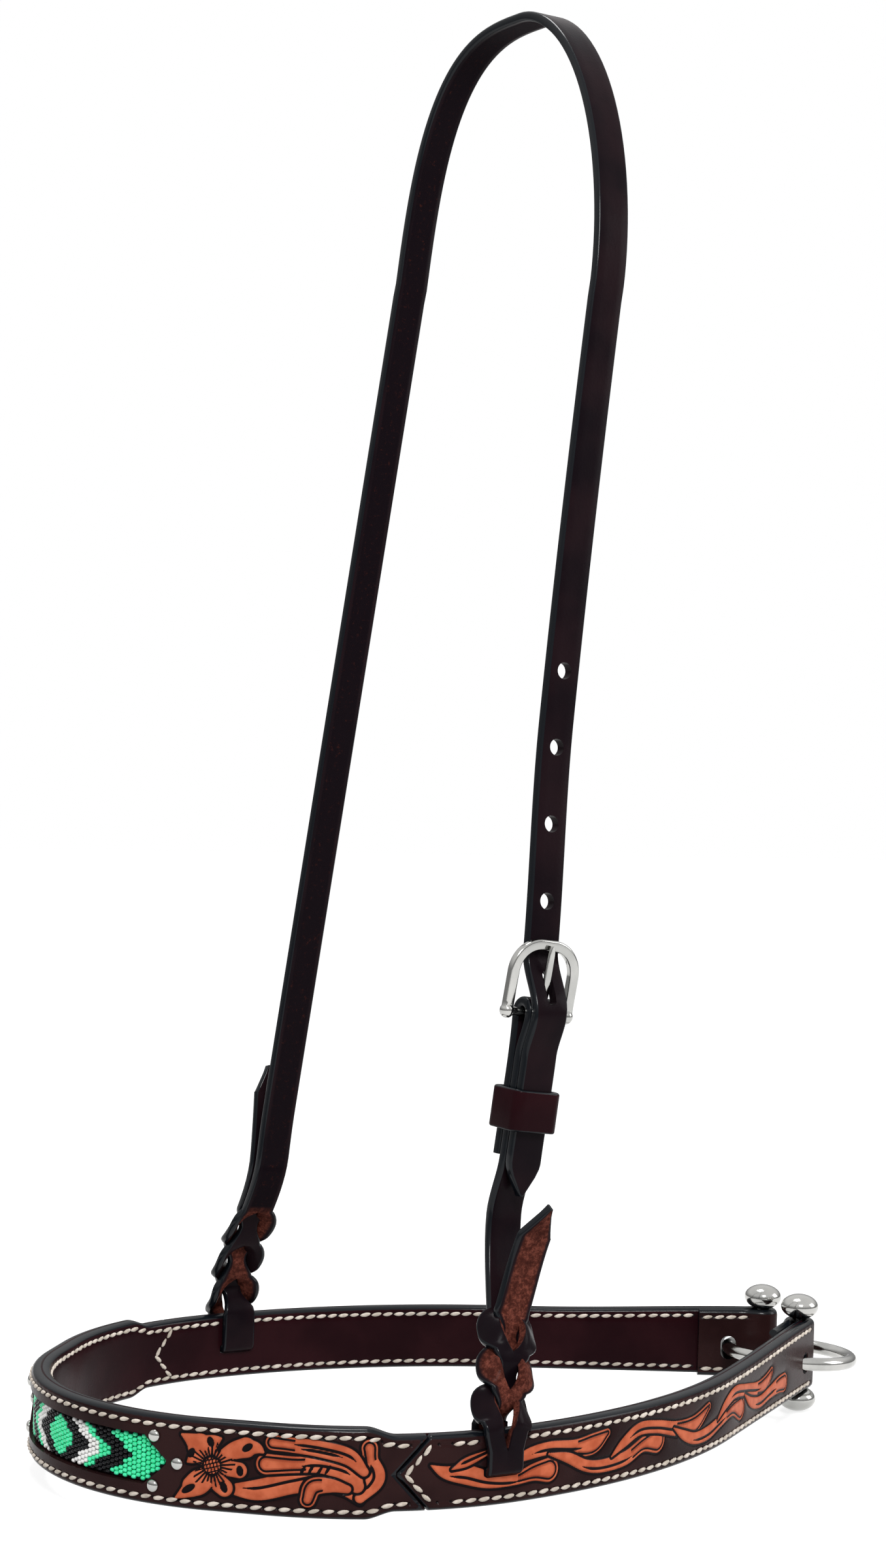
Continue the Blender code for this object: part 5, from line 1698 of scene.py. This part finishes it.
def whole_knot(side):
    """From the standing strap down through the knot and the slot, and up to the tail."""
    top = knot_end(side)
    rows = []
    for share in (1.0, 0.85, 0.7, 0.55, 0.4, 0.25, 0.12):
        height = top + (knot_top - top) * share
        thickness = strap_thickness + (knot_skin - strap_thickness) * (1.0 - share)
        blend = Vector((-side, 0.0, 0.0)).lerp(knot_across(side), 1.0 - share)
        place = knot_place(side, height, standing_offset(side, height))
        rows.append(row(place, thickness=thickness, across=blend))
    braid = knot_rows(side, True)[::-1] + slot_rows(side) + knot_rows(side, False) + tail_rows(side)
    for station in braid:
        station["bare"] = 1.0
    return rows + braid


print("near knot has", len(whole_knot(1)), "stations")

# %% [markdown]
# Below the buckle three layers lie in the keeper: the turned back end inside, the cheek strap, and
# the crown strap's tip outside. Heights are shared by the layers, so they keep one gap.

# %% Crown strap
def near_offset(height):
    """How far the crown strap stands out from the near leg's line."""
    low = layer_pitch * 2.0
    high = bar_offset * 2.0 + layer_pitch
    under_rim = (rim_thickness + strap_thickness) / 2.0 + 2.0 * seat_gap
    top = bar_offset + frame_length * math.sin(frame_lean) - under_rim
    top_height = bar_height + frame_length * math.cos(frame_lean)
    if height <= bar_height:
        return low + (high - low) * eased((height - bar_height + keeper_height) / keeper_height)
    if height <= top_height:
        return high + (top - high) * eased((height - bar_height) / (top_height - bar_height))
    return top * (1.0 - eased((height - top_height) / frame_relax))


def near_place(height, offset):
    return leg_centre(1, height) + leg_axes(height)[2] * offset


def near_row(height, part=1.0):
    return row(near_place(height, near_offset(height)), half_width * part)


tip = bar_height - tip_drop
rows = [near_row(tip + tip_length * share, part)
        for share, part in ((0.0, 0.07), (0.1, 0.2), (0.3, 0.44), (0.6, 0.76), (0.85, 0.95), (1.0, 1.0))]
shoulder = hanger_height - legs[1]["rise"] * MM
heights = np.concatenate([spaced(tip + tip_length + 3.0 * MM, bar_height + frame_length, 1.6 * MM),
                          spaced(bar_height + frame_length, bar_height + 95.0 * MM, 3.5 * MM)[1:],
                          spaced(bar_height + 95.0 * MM, shoulder, 6.0 * MM)[1:-1]])
rows += [near_row(height) for height in heights]
rows += [row(poll_centre(share)) for share in np.linspace(-1.0, 1.0, 65)]
shoulder = hanger_height - legs[-1]["rise"] * MM
for height in spaced(shoulder, knot_top, 5.0 * MM)[1:-1]:
    rows.append(row(knot_place(-1, height, standing_offset(-1, height))))
crown = sweep("crown_leather", rows + whole_knot(-1), hanger_leather)


def punch(name, centre, axes, radius, longer, reach, around=32):
    """A closed knife, round or stretched along the second of its axes, that runs along the third."""
    across, upward, outward = axes
    points = []
    for end in (-reach, reach):
        for step in range(around):
            angle = math.tau * step / around
            rise = math.sin(angle) * radius
            rise += math.copysign(longer / 2.0, rise) if longer else 0.0
            points.append(centre + across * (math.cos(angle) * radius) + upward * rise + outward * end)
    return make_mesh(name, points, grid_faces(2, around), nickel)


def hole_knife(height, radius, longer=0.0):
    """A punch through the crown strap."""
    centre = near_place(height, near_offset(height))
    return punch("hole_knife", centre, leg_axes(height), radius, longer, punch_reach)


cut(crown, hole_knife(**tongue_hole))
for number in range(1, hole_count + 1):
    cut(crown, hole_knife(bar_height + hole_rise + hole_spacing * number, hole_radius))
dress(crown, "band", "hanger leather", "crown_strap")

# %% Cheek strap
def cheek_offset(height):
    low = standing_offset(1, height)
    return low + (layer_pitch - low) * eased((height - knot_top) / (turn_back_height - knot_top))


across, upward, outward = leg_axes(bar_height)
bar_centre = leg_centre(1, bar_height) + outward * bar_offset
lap = spaced(turn_back_height, bar_height, 1.8 * MM)
rows = [row(near_place(height, 0.0)) for height in lap[:-1]]
for step in range(fold_steps + 1):
    angle = math.pi * (1.0 - step / fold_steps)
    rows.append(row(bar_centre + (outward * math.cos(angle) + upward * math.sin(angle)) * bar_offset,
                    across=across))
rows += [row(near_place(height, near_offset(height) - layer_pitch)) for height in lap[-2::-1]]
down = spaced(turn_back_height, knot_top, 2.4 * MM)[1:-1]
rows += [row(near_place(height, cheek_offset(height))) for height in down]
knot = whole_knot(1)
for station in knot:
    station["across"] = station["across"] * -1.0
cheek = sweep("cheek_leather", rows + knot, hanger_leather, -1.0)
low_side = fold_hole["radius"] + fold_hole["longer"] / 2.0 - bar_offset - strap_thickness / 2.0 - seat_gap
knife = punch("fold_knife", bar_centre - upward * low_side, (across, upward, outward),
              reach=fold_punch_reach, around=24, **fold_hole)
cut(cheek, knife)
dress(cheek, "band", "hanger leather", "cheek_strap")

# %% [markdown]
# ## Buckle, tongue and keeper
# The frame is cast flat with softened edges, round arched at its top, and the tongue is a bent
# wire that rests on it. They are swept like the straps, with a small rounded section.

# %% Rounded sections along a path
def round_rect(width, height, corner, steps=5):
    """Points round a rectangle with round corners."""
    points = []
    for quarter in range(4):
        for step in range(steps + 1):
            angle = math.pi / 2.0 * (quarter + step / steps)
            x = (width / 2.0 - corner) * (1.0 if quarter in (0, 3) else -1.0)
            y = (height / 2.0 - corner) * (1.0 if quarter in (0, 1) else -1.0)
            points.append((x + corner * math.cos(angle), y + corner * math.sin(angle)))
    return points


rim_round = 0.8 * MM
frame_sides = 24
bar_end = 0.25 * rim_width
foot_radii = (2.3 * MM, 2.5 * MM)
foot_rows = 11


def heading_at(path, number):
    """Direction of a flat path at one of its points."""
    before, after = path[max(number - 1, 0)], path[min(number + 1, len(path) - 1)]
    return Vector((after[0] - before[0], after[1] - before[1])).normalized()


print("frame leans", round(math.degrees(frame_lean), 1), "degrees")

# %% Buckle frame
turn = Matrix.Rotation(frame_lean, 3, across)
frame_up = turn @ upward
frame_out = turn @ outward
half = (frame_width - rim_width) / 2.0
top = frame_length + rim_width / 2.0 - frame_corner
path = [(-half, top * share) for share in (0.0, 0.25, 0.5, 0.75, 1.0)]
for angle in np.linspace(0.0, math.pi / 2.0, 20)[1:]:
    path.append((-half + frame_corner * (1.0 - math.cos(angle)), top + frame_corner * math.sin(angle)))
path += [(-x, y) for x, y in path[::-1]]
points = []
for number, (x, y) in enumerate(path):
    heading = heading_at(path, number)
    for reach, level in round_rect(rim_width, rim_thickness, rim_round):
        flat = Vector((x, y)) + Vector((-heading.y, heading.x)) * reach
        points.append(bar_centre + across * flat.x + frame_up * flat.y + frame_out * level)
buckle = make_mesh("buckle_nickel", points, grid_faces(len(path), frame_sides), nickel, smooth_angle=35.0)
print("frame path has", len(path), "points")

# %% Bar and feet
points = []
for end in (-half - bar_end, half + bar_end):
    for step in range(frame_sides):
        angle = math.tau * step / frame_sides
        round_part = (outward * math.cos(angle) + upward * math.sin(angle)) * bar_radius
        points.append(bar_centre + across * end + round_part)
cut(buckle, make_mesh("bar", points, grid_faces(2, frame_sides), nickel), "UNION")
for end in (-half, half):
    points = []
    for step in range(foot_rows):
        slope = math.pi * (step + 0.5) / foot_rows
        for number in range(frame_sides):
            angle = math.tau * number / frame_sides
            ball = Vector((math.cos(slope), math.sin(slope) * math.cos(angle),
                           math.sin(slope) * math.sin(angle)))
            points.append(bar_centre + across * (end + ball.x * foot_radii[0])
                          + (outward * ball.y + upward * ball.z) * foot_radii[1])
    cut(buckle, make_mesh("foot", points, grid_faces(foot_rows, frame_sides), nickel), "UNION")
dress(buckle, "buckle", "nickel", "buckle_frame")

# %% Tongue
tongue_width = 2.9 * MM
tongue_thickness = 1.6 * MM
tongue_corner = (0.75 * MM, 1.1 * MM)
tongue_curl = math.radians(292.0)
tongue_taper = ((0.15, 1.0), (0.3, 1.0), (0.5, 0.96), (0.75, 0.9), (0.88, 0.85), (0.96, 0.72), (1.0, 0.42))
reach = bar_radius + seat_gap + tongue_thickness / 2.0
rest = rim_thickness / 2.0 + 0.4 * MM + tongue_thickness / 2.0
path = []
for angle in np.linspace(-tongue_curl, 0.0, 25):
    path.append((reach * math.cos(angle), reach * math.sin(angle), 1.0))
top = frame_length + rim_width / 2.0
for share, part in tongue_taper:
    path.append((reach + (rest - reach) * share, top * share, part))
points = []
for number, (level, rise, part) in enumerate(path):
    heading = heading_at(path, number)
    corner = min(tongue_corner[0], tongue_corner[1] * part)
    for side, lift in round_rect(tongue_width * part, tongue_thickness, corner):
        spot = Vector((level, rise)) + Vector((heading.y, -heading.x)) * lift
        points.append(bar_centre + across * side + frame_out * spot.x + frame_up * spot.y)
tongue = make_mesh("tongue_nickel", points, grid_faces(len(path), frame_sides), nickel)
dress(tongue, "tongue", "nickel", "buckle_tongue")

# %% Keeper
keeper_skin = 2.2 * MM
keeper_wave = 0.25 * MM
keeper_round = 0.85 * MM
keeper_room = 0.55 * MM
height = bar_height - keeper_drop
across, upward, outward = leg_axes(height)
centre = leg_centre(1, height) + outward * layer_pitch
half = half_width + keeper_room + keeper_skin / 2.0
depth = layer_pitch + strap_thickness / 2.0 + keeper_room + keeper_skin / 2.0
points, edges = [], []
section = round_rect(keeper_skin, keeper_height, keeper_round)
loop = round_rect(2.0 * half, 2.0 * depth, keeper_skin * 1.1, 9)
for number, (x, y) in enumerate(loop):
    before, after = loop[number - 1], loop[(number + 1) % len(loop)]
    facing = Vector((after[1] - before[1], before[0] - after[0])).normalized()
    for out, rise in section:
        flat = Vector((x, y)) + facing * out
        wave = keeper_wave * math.sin(5.0 * math.atan2(y, x)) * (rise / keeper_height)
        points.append(centre + across * flat.x + outward * flat.y + upward * (rise + wave))
        edges.append(min(max((abs(rise) - keeper_height / 2.0 + 0.8 * MM) / (0.7 * MM), 0.0), 1.0))
faces = grid_faces(len(loop), len(section), close_rows=True)
keeper = make_mesh("keeper_leather", points, faces, lining_leather, {"edge": edges})
dress(keeper, "keeper_loop", "hanger leather", "keeper")

# %% [markdown]
# ## Studio
# The noseband hangs in front of plain white, as in a catalogue. The floor is white to the camera
# and to polished metal, and still takes the shadow. Large soft lamps show the rolled edges.

# %% Floor
def seen_share(tree):
    """One for rays that show the background: to the camera, in gloss and through glass."""
    paths = put(tree, "ShaderNodeLightPath")
    glossy = maths(tree, "MAXIMUM", paths.outputs["Is Glossy Ray"], paths.outputs["Is Transmission Ray"])
    return maths(tree, "MAXIMUM", glossy, paths.outputs["Is Camera Ray"])


floor_gap = 0.2 * MM
floor_glow = 0.7
floor_mesh = bpy.data.meshes.new("studio_floor")
floor_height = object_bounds()[0][2] - floor_gap
reach = 6.0
floor_mesh.from_pydata([(-reach, -reach, floor_height), (reach, -reach, floor_height),
                        (reach, reach, floor_height), (-reach, reach, floor_height)], [], [(0, 1, 2, 3)])
floor = bpy.data.objects.new("studio_floor", floor_mesh)
bpy.context.scene.collection.objects.link(floor)
material, tree, shader = new_material("studio white")
shader.inputs["Base Color"].default_value = (0.5, 0.5, 0.5, 1.0)
shader.inputs["Roughness"].default_value = 0.9
shader.inputs["Specular IOR Level"].default_value = 0.0
shader.inputs["Emission Color"].default_value = (1.0, 1.0, 1.0, 1.0)
seen = seen_share(tree)
tree.links.new(maths(tree, "MULTIPLY", seen, floor_glow), shader.inputs["Emission Strength"])
floor_mesh.materials.append(material)
print("floor at", round(floor_height / MM, 1), "mm")

# %% World
world_light = 0.65
world = bpy.data.worlds.new("studio")
bpy.context.scene.world = world
world.use_nodes = True
tree = world.node_tree
background = tree.nodes["Background"]
seen = seen_share(tree)
background.inputs["Color"].default_value = (1.0, 1.0, 1.0, 1.0)
paths = put(tree, "ShaderNodeLightPath")
direction = put(tree, "ShaderNodeSeparateXYZ", {0: put(tree, "ShaderNodeTexCoord").outputs["Generated"]})
panel = stretch(tree, direction.outputs["Z"], 0.05, 0.6, 0.3, 1.0)
plain = maths(tree, "MULTIPLY_ADD", seen, 1.0 - world_light, world_light)
mirrored = maths(tree, "MULTIPLY", paths.outputs["Is Glossy Ray"], maths(tree, "SUBTRACT", panel, 1.0))
tree.links.new(maths(tree, "ADD", plain, mirrored), background.inputs["Strength"])
print("world light", world_light)

# %% Lamps
def lamp(name, place, target, size, power):
    """A square soft lamp that faces a point."""
    light = bpy.data.lights.new(name, "AREA")
    light.shape = "SQUARE"
    light.size = size
    light.energy = power
    item = bpy.data.objects.new(name, light)
    item.location = place
    item.rotation_euler = (Vector(target) - Vector(place)).to_track_quat("-Z", "Y").to_euler()
    bpy.context.scene.collection.objects.link(item)


aim = (0.0, 0.0, -0.3)
lamp("key_lamp", (-0.7, -1.3, 0.8), aim, 0.45, 16.0)
lamp("fill_lamp", (1.3, -0.9, 0.3), aim, 0.8, 8.0)
lamp("top_lamp", (0.1, 0.4, 1.2), aim, 0.5, 10.0)

# %% [markdown]
# ## Camera
# The camera stands where the photograph was taken from: low, in front of the near side. Its place
# and directions are given directly, and the lens follows from the picture's height in pixels.

# %% Camera
camera_data = bpy.data.cameras.new("camera")
camera = bpy.data.objects.new("camera", camera_data)
bpy.context.scene.collection.objects.link(camera)
bpy.context.scene.camera = camera
camera_place = Vector((-574.88, -803.65, -268.01)) * MM
forward = Vector((0.56265, 0.82669, -0.00340)).normalized()
right = Vector((0.82632, -0.56225, 0.03281))
right = (right - forward * right.dot(forward)).normalized()
up = right.cross(forward)
camera.matrix_world = Matrix.Translation(camera_place) @ Matrix((right, up, -forward)).transposed().to_4x4()
focal_pixels = 4239.5
picture_height = 2400.0
camera_data.sensor_fit = "AUTO"
camera_data.sensor_width = 36.0
camera_data.lens = camera_data.sensor_width * focal_pixels / picture_height
bpy.context.scene.view_settings.view_transform = "Standard"
print("lens", round(camera_data.lens, 1), "mm")
